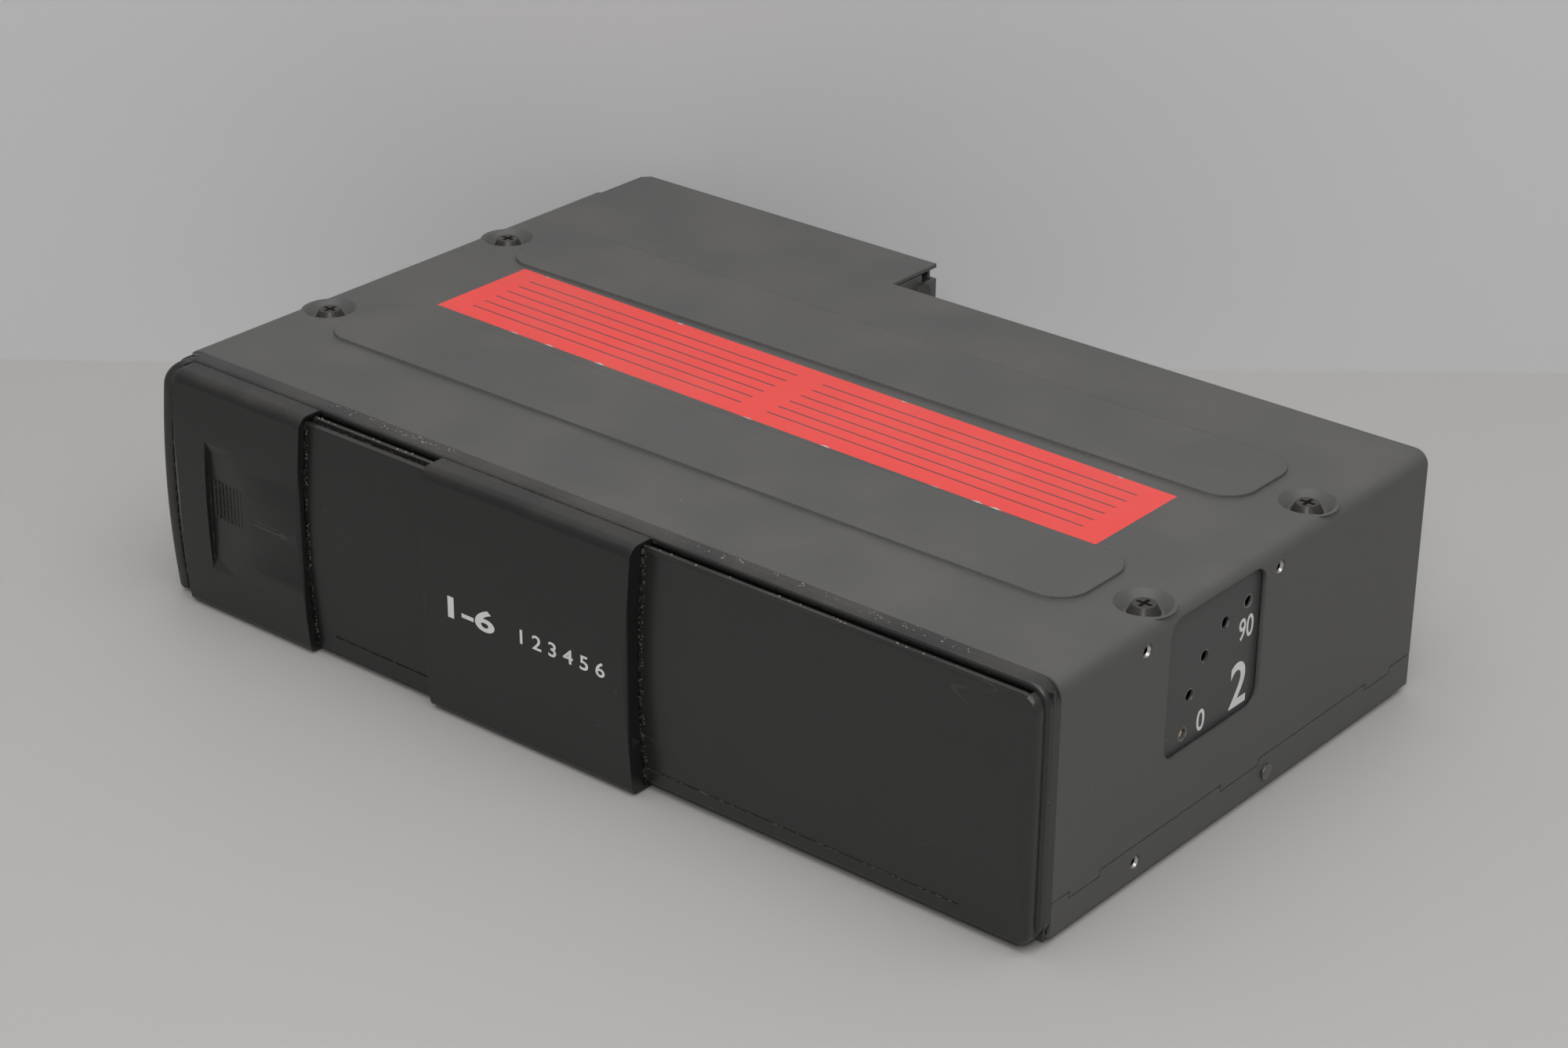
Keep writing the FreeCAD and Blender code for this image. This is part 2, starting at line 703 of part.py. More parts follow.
def make_top_cover():
    """Pressed steel cover: top, sides, back, raised pads, dimples and side windows."""
    cover = Body("cover")
    inner_right = "(case_width - steel)"
    cover.pad("XZ", ("cover_front", BACK), [
        ("0", "seam_height"), ("steel", "seam_height"), ("steel", COVER_INSIDE),
        (inner_right, COVER_INSIDE), (inner_right, "seam_height"),
        ("case_width", "seam_height"), ("case_width", "case_height"), ("0", "case_height")])
    bend_in = "max(cover_bend - steel; 0.2)"
    cover.fillet("cover_bend", {"x": "0", "z": "case_height"},
                 {"x": "case_width", "z": "case_height"})
    cover.fillet(bend_in, {"x": "steel", "z": COVER_INSIDE},
                 {"x": inner_right, "z": COVER_INSIDE})
    cover.pad("XZ", (f"{BACK} - steel", BACK), round_rectangle(
        "steel / 2", "case_width - steel / 2", "seam_height", "case_height - steel / 2",
        "cover_bend"))
    cover.pocket("XZ", (f"{BACK} - steel - 1", f"{BACK} + 1"), rectangle(
        "rear_left + steel", "rear_left + rear_width - steel",
        "rear_floor + steel", COVER_INSIDE))
    cover.pad("XY", (COVER_INSIDE, "case_height"), [
        ("rear_left", f"{BACK} - 2 * steel"),
        ("rear_left + rear_width", f"{BACK} - 2 * steel"),
        ("rear_left + rear_width", f"{BACK} + rear_depth"),
        ("rear_left + rear_chamfer", f"{BACK} + rear_depth"),
        ("rear_left", f"{BACK} + rear_depth - rear_chamfer")])
    for x in both_sides("steel / 2"):
        for low, high in tab_spans():
            cover.pad("XY", ("seam_height - seam_tab", "seam_height + 1"), rectangle(
                f"({x}) - steel / 2", f"({x}) + steel / 2", low, high))
    for front in ("pad_front", "(pad_front + pad_spacing)"):
        cover.pad("XY", ("case_height - steel / 2", "case_height + pad_rise"),
                  round_rectangle("pad_left", f"pad_left + {PAD_LENGTH}",
                                  front, f"{front} + pad_width", "pad_round"))
    cover.pocket("YZ", ("0 - 1", "case_width + 1"), round_rectangle(
        "window_front", "window_front + window_length",
        "window_bottom", f"window_bottom + {WINDOW_HEIGHT}", "window_round"))
    cover.pocket("YZ", ("0 - 1", "case_width + 1"), *[
        ("circle", y, z, "bracket_hole") for y, z in bracket_places()[1::2]])
    bosses, holes = [], []
    bowl = "(dimple_radius - dimple_depth)"
    for x, y in cover_screw_places():
        floor = "case_height - dimple_depth"
        bosses.append(cone(f"{bowl} + steel / 2", "dimple_radius + steel / 2", x, y,
                           (f"{floor} - steel", f"{COVER_INSIDE} + steel / 2")))
        holes.append(cone(bowl, "dimple_radius + 1", x, y,
                          (floor, "case_height + 1")))
        holes.append(rod("z", "screw_shank + running", x, y,
                         (f"{floor} - steel - 1", "case_height")))
    bossed = fuse([cover.body] + bosses, "cover_dimpled")
    place(cut(bossed, holes, "cover_cut"), "top_cover")


def make_chassis():
    """Pressed steel pan with side flanges, seam notches, feet and screw recesses."""
    pan = Body("pan")
    pan.pad("XY", ("0", "steel"), rectangle("0", "case_width", "cover_front", BACK))
    top = "(seam_height - seam_gap)"
    for left in (True, False):
        pan.pad("XZ", ("cover_front", BACK), rectangle(
            *side_span(left, "0", "steel"), "steel / 2", top))
    pan.pad("XZ", (f"{BACK} - steel", BACK), rectangle("0", "case_width", "steel / 2", top))
    pan.fillet("steel", {"x": "0", "z": "0"}, {"x": "case_width", "z": "0"},
               {"y": BACK, "z": "0"})
    for low, high in tab_spans():
        pan.pocket("YZ", ("0 - 1", "case_width + 1"), rectangle(
            f"{low} - seam_gap", f"{high} + seam_gap", f"{top} - seam_tab", "seam_height"))
    for left in (True, False):
        for low, high in tab_spans()[::2]:
            pan.pad("YZ", side_span(left, "steel", "2 * steel"), rectangle(
                low, high, "steel / 2", "seam_height + seam_tab + tab_flange"))
    feet, bosses, holes = [], [], []
    for x in both_sides("foot_inset"):
        for y in ("cover_front + foot_inset", f"{BACK} - foot_inset"):
            feet.append(cone("foot_radius - foot_height", "foot_radius", x, y,
                             ("0 - foot_height", "steel / 2")))
    for x, y in transport_places():
        bosses.append(rod("z", "transport_radius + 2 * steel", x, y,
                          ("steel / 2", "transport_sink + steel")))
        holes.append(rod("z", "transport_radius + steel", x, y, ("0 - 1", "transport_sink")))
        holes.append(rod("z", "transport_hole", x, y, ("0", "transport_sink + steel + 1")))
    for y, z in bracket_places()[::2]:
        for left in (True, False):
            holes.append(rod("x", "bracket_hole", y, z, side_span(left, "0 - 1", "steel + 1")))
    pressed = fuse([pan.body] + feet + bosses, "pan_pressed")
    place(cut(pressed, holes, "pan_cut"), "bottom_chassis")


def make_rear_box():
    """Folded box that carries the connector behind the left half of the case."""
    left, right = "rear_left", "(rear_left + rear_width)"
    back = f"({BACK} + rear_depth)"
    shell = Body("rear")
    shell.pad("XY", ("rear_floor", f"{COVER_INSIDE} - seam_gap"), [
        (left, BACK), (right, BACK), (right, back), (f"{left} + rear_chamfer", back),
        (left, f"{back} - rear_chamfer")])
    shell.pocket("XY", ("rear_floor + steel", f"{COVER_INSIDE} + 1"), [
        (f"{left} + steel", f"{BACK} - 1"), (f"{right} - steel", f"{BACK} - 1"),
        (f"{right} - steel", f"{back} - steel"),
        (f"{left} + steel + rear_chamfer", f"{back} - steel"),
        (f"{left} + steel", f"{back} - steel - rear_chamfer")])
    shell.pocket("XZ", (f"{back} - steel - 1", f"{back} + 1"), rectangle(
        "rear_left + socket_left - seam_gap", "rear_left + socket_left + socket_width + seam_gap",
        "socket_bottom - seam_gap", "socket_bottom + socket_height + seam_gap"))
    shell.pocket("YZ", (f"{right} - steel - 1", f"{right} + 1"), rectangle(
        f"{back} - rear_notch", f"{back} + 1", f"{COVER_INSIDE} - rear_notch_drop", COVER_INSIDE))
    place(shell.body, "rear_box")
    head = rod("x", "screw_head * 0.8", f"{BACK} + rear_depth * 0.6", f"{COVER_INSIDE} - rear_screw_drop",
               (right, f"{right} + screw_head_height * 0.8"))
    place(head, "rear_box_screw")

    low, high = "socket_bottom", "(socket_bottom + socket_height)"
    near, far = "(rear_left + socket_left)", "(rear_left + socket_left + socket_width)"
    socket = Body("socket")
    socket.pad("XZ", (f"{back} - socket_depth", back), rectangle(near, far, low, high))
    socket.pocket("XZ", (f"{back} - socket_depth + socket_wall", f"{back} + 1"), rectangle(
        f"{near} + socket_wall", f"{far} - socket_wall",
        f"{low} + socket_wall", f"{high} - socket_wall"))
    pins = []
    for column in range(6):
        x = f"{near} + socket_width * {column + 1} / 7"
        for row in ("0.3", "0.7"):
            z = f"{low} + socket_height * {row}"
            pins.append(box((f"{x} - 0.4", f"{x} + 0.4"),
                            (f"{back} - socket_depth + socket_wall / 2",
                             f"{back} - socket_depth + socket_wall + 2"),
                            (f"{z} - 0.4", f"{z} + 0.4"), "contact"))
    place(fuse([socket.body] + pins, "socket_pinned"), "connector_socket")
    board = box(("rear_left + 2 * steel", f"{right} - 2 * steel"),
                (f"{back} - socket_depth - board_thick", f"{back} - socket_depth"),
                ("rear_floor + steel", f"{high} + 8"), "rear_board")
    place(board, "connector_board")


def make_bezel():
    """Front moulding: flange, door rails, left cheek, fixed crowned panel and rear lip."""
    bezel = Body("bezel")
    cheek_inside = "(case_width - panel_cheek)"
    crown = crowned("0", PANEL_TOP, "panel_bottom", "panel_edge", "panel_edge")
    bezel.pad("YZ", (cheek_inside, "case_width"), crown + [
        ("flange_front + 0.5", "panel_bottom"), ("flange_front + 0.5", PANEL_TOP)])
    bezel.round_corner("XY", ("0 - 1", "case_height"), ("case_width", "0 - face_crown"),
                       (1, -1), "panel_round")
    bezel.pad("XZ", ("flange_front", "cover_front"),
              round_rectangle("0", "case_width", "0", "case_height", "flange_round"),
              round_rectangle("magazine_left - bay_gap", f"{MAGAZINE_RIGHT} + bay_gap",
                              "magazine_floor - bay_gap", f"{MAGAZINE_TOP} + bay_gap",
                              "magazine_round"),
              rectangle("button_left - button_play", "button_left + button_width + button_play",
                        "button_bottom - button_play",
                        "button_bottom + button_height + button_play"))
    lip_in, lip_out = "(steel + lip_gap + lip_thick)", "(steel + lip_gap)"
    bezel.pad("XZ", ("cover_front", "cover_front + lip_depth"),
              round_rectangle(lip_out, f"case_width - {lip_out}", lip_out,
                              f"case_height - {lip_out}", "cover_bend"),
              round_rectangle(lip_in, f"case_width - {lip_in}", lip_in,
                              f"case_height - {lip_in}", "cover_bend - lip_thick"))
    bezel.pad("YZ", ("panel_left", cheek_inside), crown + [
        ("rail_thick", "panel_bottom"), ("rail_thick", PANEL_TOP)])
    bezel.pad("YZ", ("panel_left", "panel_left + panel_wall"), rectangle(
        "rail_thick", "flange_front", GROOVE_CEILING, GROOVE_FLOOR))
    for bar_low, bar_high, web_low, web_high in (
            (GROOVE_FLOOR, PANEL_TOP, f"{GROOVE_FLOOR} - rail_web", GROOVE_FLOOR),
            ("panel_bottom", GROOVE_CEILING, GROOVE_CEILING, f"{GROOVE_CEILING} + rail_web")):
        bezel.pad("YZ", ("cheek_width", cheek_inside), rectangle(
            "rail_front", "flange_front", web_low, web_high))
        bezel.pad("YZ", ("cheek_width", cheek_inside), rectangle(
            "rail_front", "rail_thick", bar_low, bar_high))
    bezel.pad("YZ", ("0", "cheek_width"), [
        ("flange_front", "0"), ("flange_front", "case_height"),
        ("0 - cheek_proud", "case_height - flange_round", "face_crown"),
        ("0 - cheek_proud", "flange_round / 2"), ("0", "0")])
    for end, side, radius in (("case_height", 1, "flange_round"), ("0", -1, "flange_round / 2")):
        bezel.round_corner("XZ", ("0 - cheek_proud - 2 * face_crown", "flange_front"),
                           ("0", end), (-1, side), radius)
    bezel.round_corner("XY", ("0 - 1", "case_height + 1"),
                       ("0", "0 - cheek_proud - face_crown"), (-1, -1), "cheek_width * 0.6")
    crease = "(panel_bottom + crease_height)"
    bezel.pocket("YZ", ("centre_left + centre_width + 1", "case_width - crease_end"), rectangle(
        "0 - face_crown * 2", "0 - face_crown * 0.25 + crease_depth", crease,
        f"{crease} + crease_width"))
    place(bezel.body, "front_bezel")


def leaf_profile():
    """Section of a sliding leaf: crowned face, roof and foot that hook behind the rails."""
    face, inside = "(0 - block_proud)", "(leaf_wall - block_proud)"
    roof, floor = f"({LEAF_TOP} - leaf_roof)", f"({LEAF_BOTTOM} + leaf_roof)"
    hook_low = f"({GROOVE_FLOOR} + (rail_height - hook_reach) * 1.5)"
    hook_high = f"({GROOVE_CEILING} - (rail_height - hook_reach) * 1.5)"
    return crowned(face, LEAF_TOP, LEAF_BOTTOM, "leaf_round", "leaf_foot_round") + [
        (HOOK_BACK, LEAF_BOTTOM), (HOOK_BACK, hook_high), (HOOK_FRONT, hook_high),
        (HOOK_FRONT, floor), (inside, floor, "-face_crown"), (inside, roof),
        (HOOK_FRONT, roof), (HOOK_FRONT, hook_low), (HOOK_BACK, hook_low),
        (HOOK_BACK, LEAF_TOP)]


def end_profile(back):
    """Section of the wall that closes one end of a leaf, down to a given y."""
    face = "(0 - block_proud)"
    return crowned(face, LEAF_TOP, LEAF_BOTTOM, "leaf_round", "leaf_foot_round") + [
        ("0 - block_proud / 4", LEAF_BOTTOM), (back, "thin_bottom", "-face_crown"),
        (back, THIN_TOP), ("0 - block_proud / 4", LEAF_TOP)]


def make_grip_leaf():
    """Left leaf: hooked channel with an end wall, a finger recess and grip ribs."""
    leaf = Body("grip")
    right = "(grip_left + grip_width)"
    face = "(0 - block_proud)"
    leaf.pad("YZ", ("grip_left", right), leaf_profile())
    leaf.pad("YZ", ("grip_left", "grip_left + leaf_end"),
             end_profile("0 - thin_proud + thin_wall + 0.2"))
    front = "(0 - block_proud - face_crown)"
    tall = ("0 - 5", "case_height + 5")
    leaf.round_corner("XY", tall, ("grip_left", front), (-1, -1), "leaf_round")
    leaf.round_corner("XY", tall, (right, front), (1, -1), "leaf_edge_round")
    for end, side, radius in ((LEAF_TOP, 1, "leaf_round"), (LEAF_BOTTOM, -1, "leaf_foot_round")):
        leaf.round_corner("XZ", ("0 - 10", "flange_front"), ("grip_left", end), (-1, side), radius)
    floor = "(0 - block_proud - face_crown + recess_depth)"
    outer = "(0 - block_proud - face_crown - recess_depth)"
    left = "(grip_left + recess_inset)"
    low, high = "recess_bottom", "(recess_bottom + recess_height)"
    leaf.loft_cut("XZ", (floor, outer), (
        rectangle(left, f"{left} + recess_floor", low, high),
        rectangle(left, f"{left} + recess_floor + 2 * recess_ramp",
                  f"{low} - 2 * recess_slope", f"{high} + 2 * recess_slope")))
    ramp = "(recess_depth / recess_ramp)"
    comb_end = "(recess_floor + recess_ramp - rib_width)"
    sunk = "3 * rib_root"
    comb = [(f"{left} + {comb_end}", f"{floor} - {ramp} * ({comb_end} - recess_floor) + {sunk}"),
            (f"{left} + recess_floor / 2", f"{floor} + {sunk}")]
    for rib in range(int(value("rib_count"))):
        start = f"(recess_floor + rib_pitch * {rib} + rib_root)"
        for step, rise in ((start, 0), (start, 1), (f"({start} + rib_width)", 1),
                           (f"({start} + rib_width)", 0)):
            along = f"({step} - recess_floor)"
            height = f"(rib_rise * (1 - {along} / recess_ramp) + rib_least)"
            comb.append((f"{left} + {step}",
                         f"{floor} - {ramp} * {along} + rib_root - {height} * {rise}"))
    leaf.pad("XY", ("rib_bottom", "rib_bottom + rib_height"), comb)
    place(leaf.body, "door_leaf_grip")


def make_centre_leaf():
    """Centre leaf: thin crowned panel that the grip leaf covers, and a raised block."""
    leaf = Body("centre")
    left, right = "centre_left", "(centre_left + centre_width)"
    face, thin = "(0 - block_proud)", "(0 - thin_proud)"
    thin_back = "(thin_wall - thin_proud)"
    leaf.pad("YZ", (left, right), leaf_profile())
    leaf.pad("YZ", (left, f"{left} + leaf_end"), end_profile(thin_back))
    leaf.pad("YZ", (f"{right} - leaf_end", right), end_profile(thin_back))
    tall = ("0 - 5", "case_height + 5")
    for edge, side in ((left, -1), (right, 1)):
        leaf.round_corner("XY", tall, (edge, "0 - block_proud - face_crown"), (side, -1),
                          "leaf_edge_round")
    leaf.pad("YZ", ("thin_left", f"{left} + leaf_end / 2"), [
        (thin, THIN_TOP, "face_crown"), (thin, "thin_bottom"),
        (thin_back, "thin_bottom", "-face_crown"), (thin_back, THIN_TOP)])
    crease = "(panel_bottom + crease_height + 0.6)"
    leaf.pocket("YZ", ("grip_left + grip_width + 7", f"{left} - 0.5"), rectangle(
        f"{thin} - face_crown", f"{thin} - face_crown * 0.3 + crease_depth", crease,
        f"{crease} + crease_width"))
    place(leaf.body, "door_leaf_centre")


def make_screws():
    """Pan-head screws in the dimples, the posts they enter, and the chassis screws."""
    screws, posts, bores = [], [], []
    floor = "(case_height - dimple_depth)"
    for x, y in cover_screw_places():
        head = cone("screw_head", "screw_head * 0.7", x, y,
                    (floor, f"{floor} + screw_head_height"), "screw_head")
        shank = rod("z", "screw_shank", x, y, (f"{floor} - screw_length", f"{floor} + 0.5"))
        slots = []
        for across, along in (("slot_width", "screw_head"), ("screw_head", "slot_width")):
            slots.append(box((f"{x} - ({across}) / 2", f"{x} + ({across}) / 2"),
                             (f"{y} - ({along}) / 2", f"{y} + ({along}) / 2"),
                             (f"{floor} + screw_head_height * 0.4", "case_height + 1"), "cross"))
        screws.append(cut(fuse([head, shank]), slots, "screw"))
        posts.append(rod("z", "screw_shank * 1.8", x, y, ("steel", f"{floor} - steel"), "post"))
        bores.append(rod("z", "screw_shank + running", x, y,
                         (f"{floor} - screw_length - 1", floor), "bore"))
    place(group(screws), "cover_screws")
    place(cut(group(posts), bores), "cover_posts")

    y, z = bracket_places()[2]
    place(fuse([
        rod("x", "screw_head * 0.85", y, z, side_span(False, "0 - screw_head_height / 2", "0")),
        rod("x", "bracket_hole - running", y, z, side_span(False, "0 - 0.5", "3 * steel")),
    ]), "chassis_side_screw")

    transport = []
    for x, y in transport_places():
        head = rod("z", "transport_radius", x, y, ("0.4", "transport_sink"), "big_head")
        shank = rod("z", "transport_hole - running", x, y,
                    ("1", f"{FRAME_TOP} + 0.2"), "big_shank")
        transport.append(fuse([head, shank]))
    place(group(transport), "transport_screws")


def make_support_adjusters():
    """Index plate, pivot and lever on each side; the lever's nub shows through a hole."""
    for left in (True, False):
        side = "left" if left else "right"
        near = "(steel + index_gap)"
        far = f"({near} + index_thick)"
        plate = Body(f"index_{side}")
        holes = []
        for step in range(5):
            turn = f"(90 + {step} * index_step)"
            holes.append(("circle", f"lever_y + {INDEX_RADIUS} * cos({turn} * 1deg)",
                          f"lever_z + {INDEX_RADIUS} * sin({turn} * 1deg)", "index_hole"))
        edge_low = "(window_front - index_margin)"
        edge_high = "(window_front + window_length + index_margin)"
        window_top = f"(window_bottom + {WINDOW_HEIGHT})"
        plate.pad("YZ", side_span(left, near, far), [
            ("index_leg_front", "steel"), ("index_leg_back", "steel"),
            (edge_high, "window_bottom - index_skirt"), (edge_high, f"{window_top} + overlap"),
            (edge_low, f"{window_top} + overlap"), (edge_low, "window_bottom - index_skirt"),
            ("index_leg_front", "window_bottom - index_neck")], *holes)
        place(plate.body, f"index_plate_{side}")

        head = f"({far} + lever_gap + lever_thick + pivot_play)"
        pin = fuse([
            rod("x", "pivot_radius", "lever_y", "lever_z",
                side_span(left, far, f"{head} + pivot_head")),
            rod("x", "pivot_radius * 1.9", "lever_y", "lever_z",
                side_span(left, head, f"{head} + pivot_head"))])
        place(pin, f"lever_pivot_{side}")

        lever_near = f"({far} + lever_gap)"
        lever_far = f"({lever_near} + lever_thick)"
        tip_y = f"(lever_y - {INDEX_RADIUS})"
        bow = "((lever_hub - lever_tip) * 0.02 + lever_tip * 0.999)"
        lever = Body(f"lever_{side}")
        lever.pad("YZ", side_span(left, lever_near, lever_far), [
            (tip_y, "lever_z + lever_tip", bow), (tip_y, "lever_z - lever_tip"),
            ("lever_y", "lever_z - lever_hub", "lever_hub * 0.999"),
            ("lever_y", "lever_z + lever_hub")],
            ("circle", "lever_y", "lever_z", "pivot_radius + running"))
        nub = rod("x", "nub_radius", tip_y, "lever_z",
                  side_span(left, f"{far} + nub_play", f"{lever_near} + lever_thick / 2"), "nub")
        place(fuse([lever.body, nub]), f"support_lever_{side}")


def make_magazine():
    """Magazine case, lid, six trays and six discs."""
    left, right = "magazine_left", MAGAZINE_RIGHT
    front, back = "magazine_front", MAGAZINE_BACK
    wall = "magazine_wall"
    lid_low = f"({MAGAZINE_TOP} - {wall})"
    case = Body("magazine")
    case.pad("XY", ("magazine_floor", lid_low),
             round_rectangle(left, right, front, back, "magazine_round"))
    case.pocket("XY", (f"magazine_floor + {wall}", f"{lid_low} + 1"), rectangle(
        f"{left} + {wall}", f"{right} + 1", f"{front} + {wall}", f"{back} - {wall}"))
    case.pocket("XZ", (f"{front} - 1", f"{front} + {wall} / 2"), round_rectangle(
        f"{left} + 38", f"{right} - 38", "magazine_floor + 8", f"{lid_low} - 8", "magazine_round"))
    for layer in range(DISC_COUNT):
        shelf = f"(disc_level + {layer} * {DISC_PITCH} - tray_floor - 0.1)"
        for low, high in ((f"{front} + {wall} / 2", f"{front} + {wall} + ledge_depth"),
                          (f"{back} - {wall} - ledge_depth", f"{back} - {wall} / 2")):
            case.pad("XY", (f"{shelf} - ledge_height", shelf), rectangle(
                f"{left} + {wall} / 2", f"{right} - 2", low, high))
    place(case.body, "magazine_case")

    lid = Body("lid")
    lid.pad("XY", (lid_low, MAGAZINE_TOP),
            round_rectangle(left, right, front, back, "magazine_round"))
    lid.pocket("XY", (f"{MAGAZINE_TOP} - {wall} / 3", f"{MAGAZINE_TOP} + 1"), round_rectangle(
        f"{left} + 16", f"{right} - 16", f"{front} + 22", f"{back} - 10", "magazine_round * 3"))
    place(lid.body, "magazine_lid")

    for layer in range(DISC_COUNT):
        level = f"(disc_level + {layer} * {DISC_PITCH})"
        low = f"({level} - tray_floor)"
        tray = Body(f"tray_{layer + 1}")
        middle = PLAY_Y
        tray.pad("XY", (low, f"{low} + tray_thick"), rectangle(
            f"{left} + {wall} + tray_gap", f"{right} - tray_gap",
            f"{front} + {wall} + tray_gap", f"{back} - {wall} - tray_gap"))
        tray.pocket("XY", (level, f"{low} + tray_thick + 1"),
                    ("circle", DISC_X, middle, f"{DISC_RADIUS} + 0.6"))
        tray.pocket("XY", (f"{low} - 1", f"{level} + 1"), [
            (f"{DISC_X} + tray_slot", middle, "tray_slot * 0.999"),
            (f"{DISC_X} - tray_slot", middle),
            (f"{DISC_X} - tray_slot", f"{middle} - {DISC_RADIUS} * 0.95"),
            (f"{DISC_X} + tray_slot", f"{middle} - {DISC_RADIUS} * 0.95")])
        place(tray.body, f"tray_{layer + 1}")
        disc = cut(rod("z", DISC_RADIUS, DISC_X, middle, (level, f"{level} + disc_thick")),
                   [rod("z", "disc_bore", DISC_X, middle,
                        (f"{level} - 1", f"{level} + disc_thick + 1"))])
        place(disc, f"disc_{layer + 1}")

    rails = []
    for low, high in ((f"{left} + 2", f"{left} + 8"), (f"{right} - 8", f"{right} - 2")):
        rails.append(box((low, high), ("damper_front + 7", f"{DAMPER_BACK} - 7"),
                         (FRAME_TOP, "magazine_floor"), "rail"))
    place(group(rails), "magazine_rails")


def helix_ring(radius, wire, pitch, turns, x, y, low):
    """Round-wire coil about an upright axis, as a shape in case coordinates."""
    path = Part.makeHelix(pitch, pitch * turns, radius)
    corners = []
    for corner in range(WIRE_SIDES + 1):
        turn = 2 * math.pi * corner / WIRE_SIDES
        corners.append(FreeCAD.Vector(radius + wire * math.cos(turn), 0, wire * math.sin(turn)))
    ring = Part.makePolygon(corners)
    coil = Part.Wire(path.Edges).makePipeShell([ring], True, True)
    coil.translate(FreeCAD.Vector(x, y, low))
    return coil


def make_eject_button():
    """Button through the flange, its return spring and the bracket behind it."""
    left, right = "button_left", "(button_left + button_width)"
    low, high = "button_bottom", "(button_bottom + button_height)"
    back = "(button_front + button_length)"
    stop_front = "(cover_front + 0.3)"
    middle_x, middle_z = f"({left} + button_width / 2)", f"({low} + button_height / 2)"
    button = Body("button")
    button.pad("XZ", ("button_front", back), round_rectangle(left, right, low, high, "1"))
    button.pad("XZ", (stop_front, back), rectangle(
        f"{left} - 1.4", f"{right} + 1.4", f"{low} - 1.4", f"{high} + 1.4"))
    button.pad("XZ", (f"{back} - 0.5", f"{back} + 2"),
               ("circle", middle_x, middle_z, "spring_radius - 3 * spring_wire"))
    button.fillet("0.6", {"y": "button_front"})
    place(button.body, "eject_button")

    seat = f"({back} + button_travel + 2.6)"
    bracket = Body("bracket")
    bracket.pad("XZ", (seat, f"{seat} + 1.2"), rectangle(
        f"{left} - 4", f"{right} + 4", f"{low} - 3", f"{high} + 2"))
    for x in (f"({left} - 4)", f"({right} + 2.6)"):
        bracket.pad("XZ", ("cover_front", f"{seat} + 0.6"), rectangle(
            x, f"{x} + 1.4", f"{low} - 3", f"{high} + 2"))
    place(bracket.body, "button_bracket")

    length = value(f"{seat} - {back}")
    turns = 4
    coil = helix_ring(value("spring_radius"), value("spring_wire"),
                      (length - 2.5 * value("spring_wire")) / turns, turns, 0, 0, 0)
    coil.translate(FreeCAD.Vector(0, 0, 1.25 * value("spring_wire")))
    coil.rotate(FreeCAD.Vector(), FreeCAD.Vector(1, 0, 0), -90)
    coil.translate(FreeCAD.Vector(value(middle_x), value(back), value(middle_z)))
    spring = DOC.addObject("Part::Feature", "eject_spring_coil")
    spring.Shape = coil
    place(spring, "eject_spring")


def make_suspension():
    """Floating frame on rubber dampers, with headed pins and coil springs."""
    left, right = "frame_left", FRAME_RIGHT
    front, back = "frame_front", FRAME_BACK
    wall_top = "(case_height - frame_headroom)"
    frame = Body("frame")
    notch_left = "(button_left - notch_room)"
    notch_right = "(button_left + button_width + notch_room)"
    notch_back = "(button_front + button_length + button_travel + notch_room)"
    frame.pad("XY", ("frame_base", FRAME_TOP), [
        (left, front), (notch_left, front), (notch_left, notch_back),
        (notch_right, notch_back), (notch_right, front), (right, front),
        (right, back), (left, back)])
    frame.pad("YZ", (left, f"{left} + frame_steel"), rectangle(
        front, back, "frame_base", wall_top))
    frame.pad("YZ", (f"{right} - frame_steel", right), rectangle(
        f"{front} + 4", back, "frame_base", f"{wall_top} + 6"))
    frame.pad("XZ", (f"{back} - frame_steel", back), rectangle(
        left, right, "frame_base", wall_top))
    frame.pocket("XY", ("frame_base - 1", f"{FRAME_TOP} + 1"),
                 *[("circle", x, y, "damper_neck + 0.1") for x, y in damper_places()],
                 *[("circle", x, y, "transport_hole + 0.3") for x, y in transport_places()],
                 ("circle", GEAR_X, GEAR_Y, "gear_hole"))
    frame.pocket("XZ", (f"{back} - frame_steel - 1", f"{back} + 1"), round_rectangle(
        f"{left} + 30", f"{left} + 110", f"{FRAME_TOP} + 8", f"{wall_top} - 8", "frame_hole_round"))
    frame.pocket("YZ", (f"{left} - 1", f"{left} + frame_steel + 1"), round_rectangle(
        f"{front} + 20", f"{back} - 20", f"{FRAME_TOP} + 10", f"{wall_top} - 8", "frame_hole_round"))
    place(frame.body, "mechanism_frame")

    dampers, pins, coils = [], [], []
    for x, y in damper_places():
        cap_top = f"({FRAME_TOP} + damper_cap)"
        rubber = fuse([
            rod("z", "damper_radius", x, y, ("steel", "frame_base")),
            rod("z", "damper_neck", x, y, ("frame_base - 0.5", f"{FRAME_TOP} + 0.5")),
            cone("damper_radius", "damper_neck", x, y, (FRAME_TOP, cap_top))])
        dampers.append(cut(rubber, [rod("z", "damper_pin + running", x, y,
                                        ("0", f"{cap_top} + 1"))]))
        pins.append(fuse([
            rod("z", "damper_pin", x, y, ("steel", f"{cap_top} + 1.4")),
            rod("z", "damper_pin * 2", x, y, (cap_top, f"{cap_top} + 1.4"))]))
        room = value("frame_base - steel")
        wire = value("coil_wire")
        turns = value("coil_turns")
        coils.append(helix_ring(value("coil_radius"), wire, (room - 2.4 * wire) / turns, turns,
                                value(x), value(y), value("steel") + 1.2 * wire))
    place(group(dampers), "dampers")
    place(group(pins), "damper_pins")
    springs = DOC.addObject("Part::Feature", "suspension_coils")
    springs.Shape = Part.makeCompound(coils)
    place(springs, "suspension_springs")


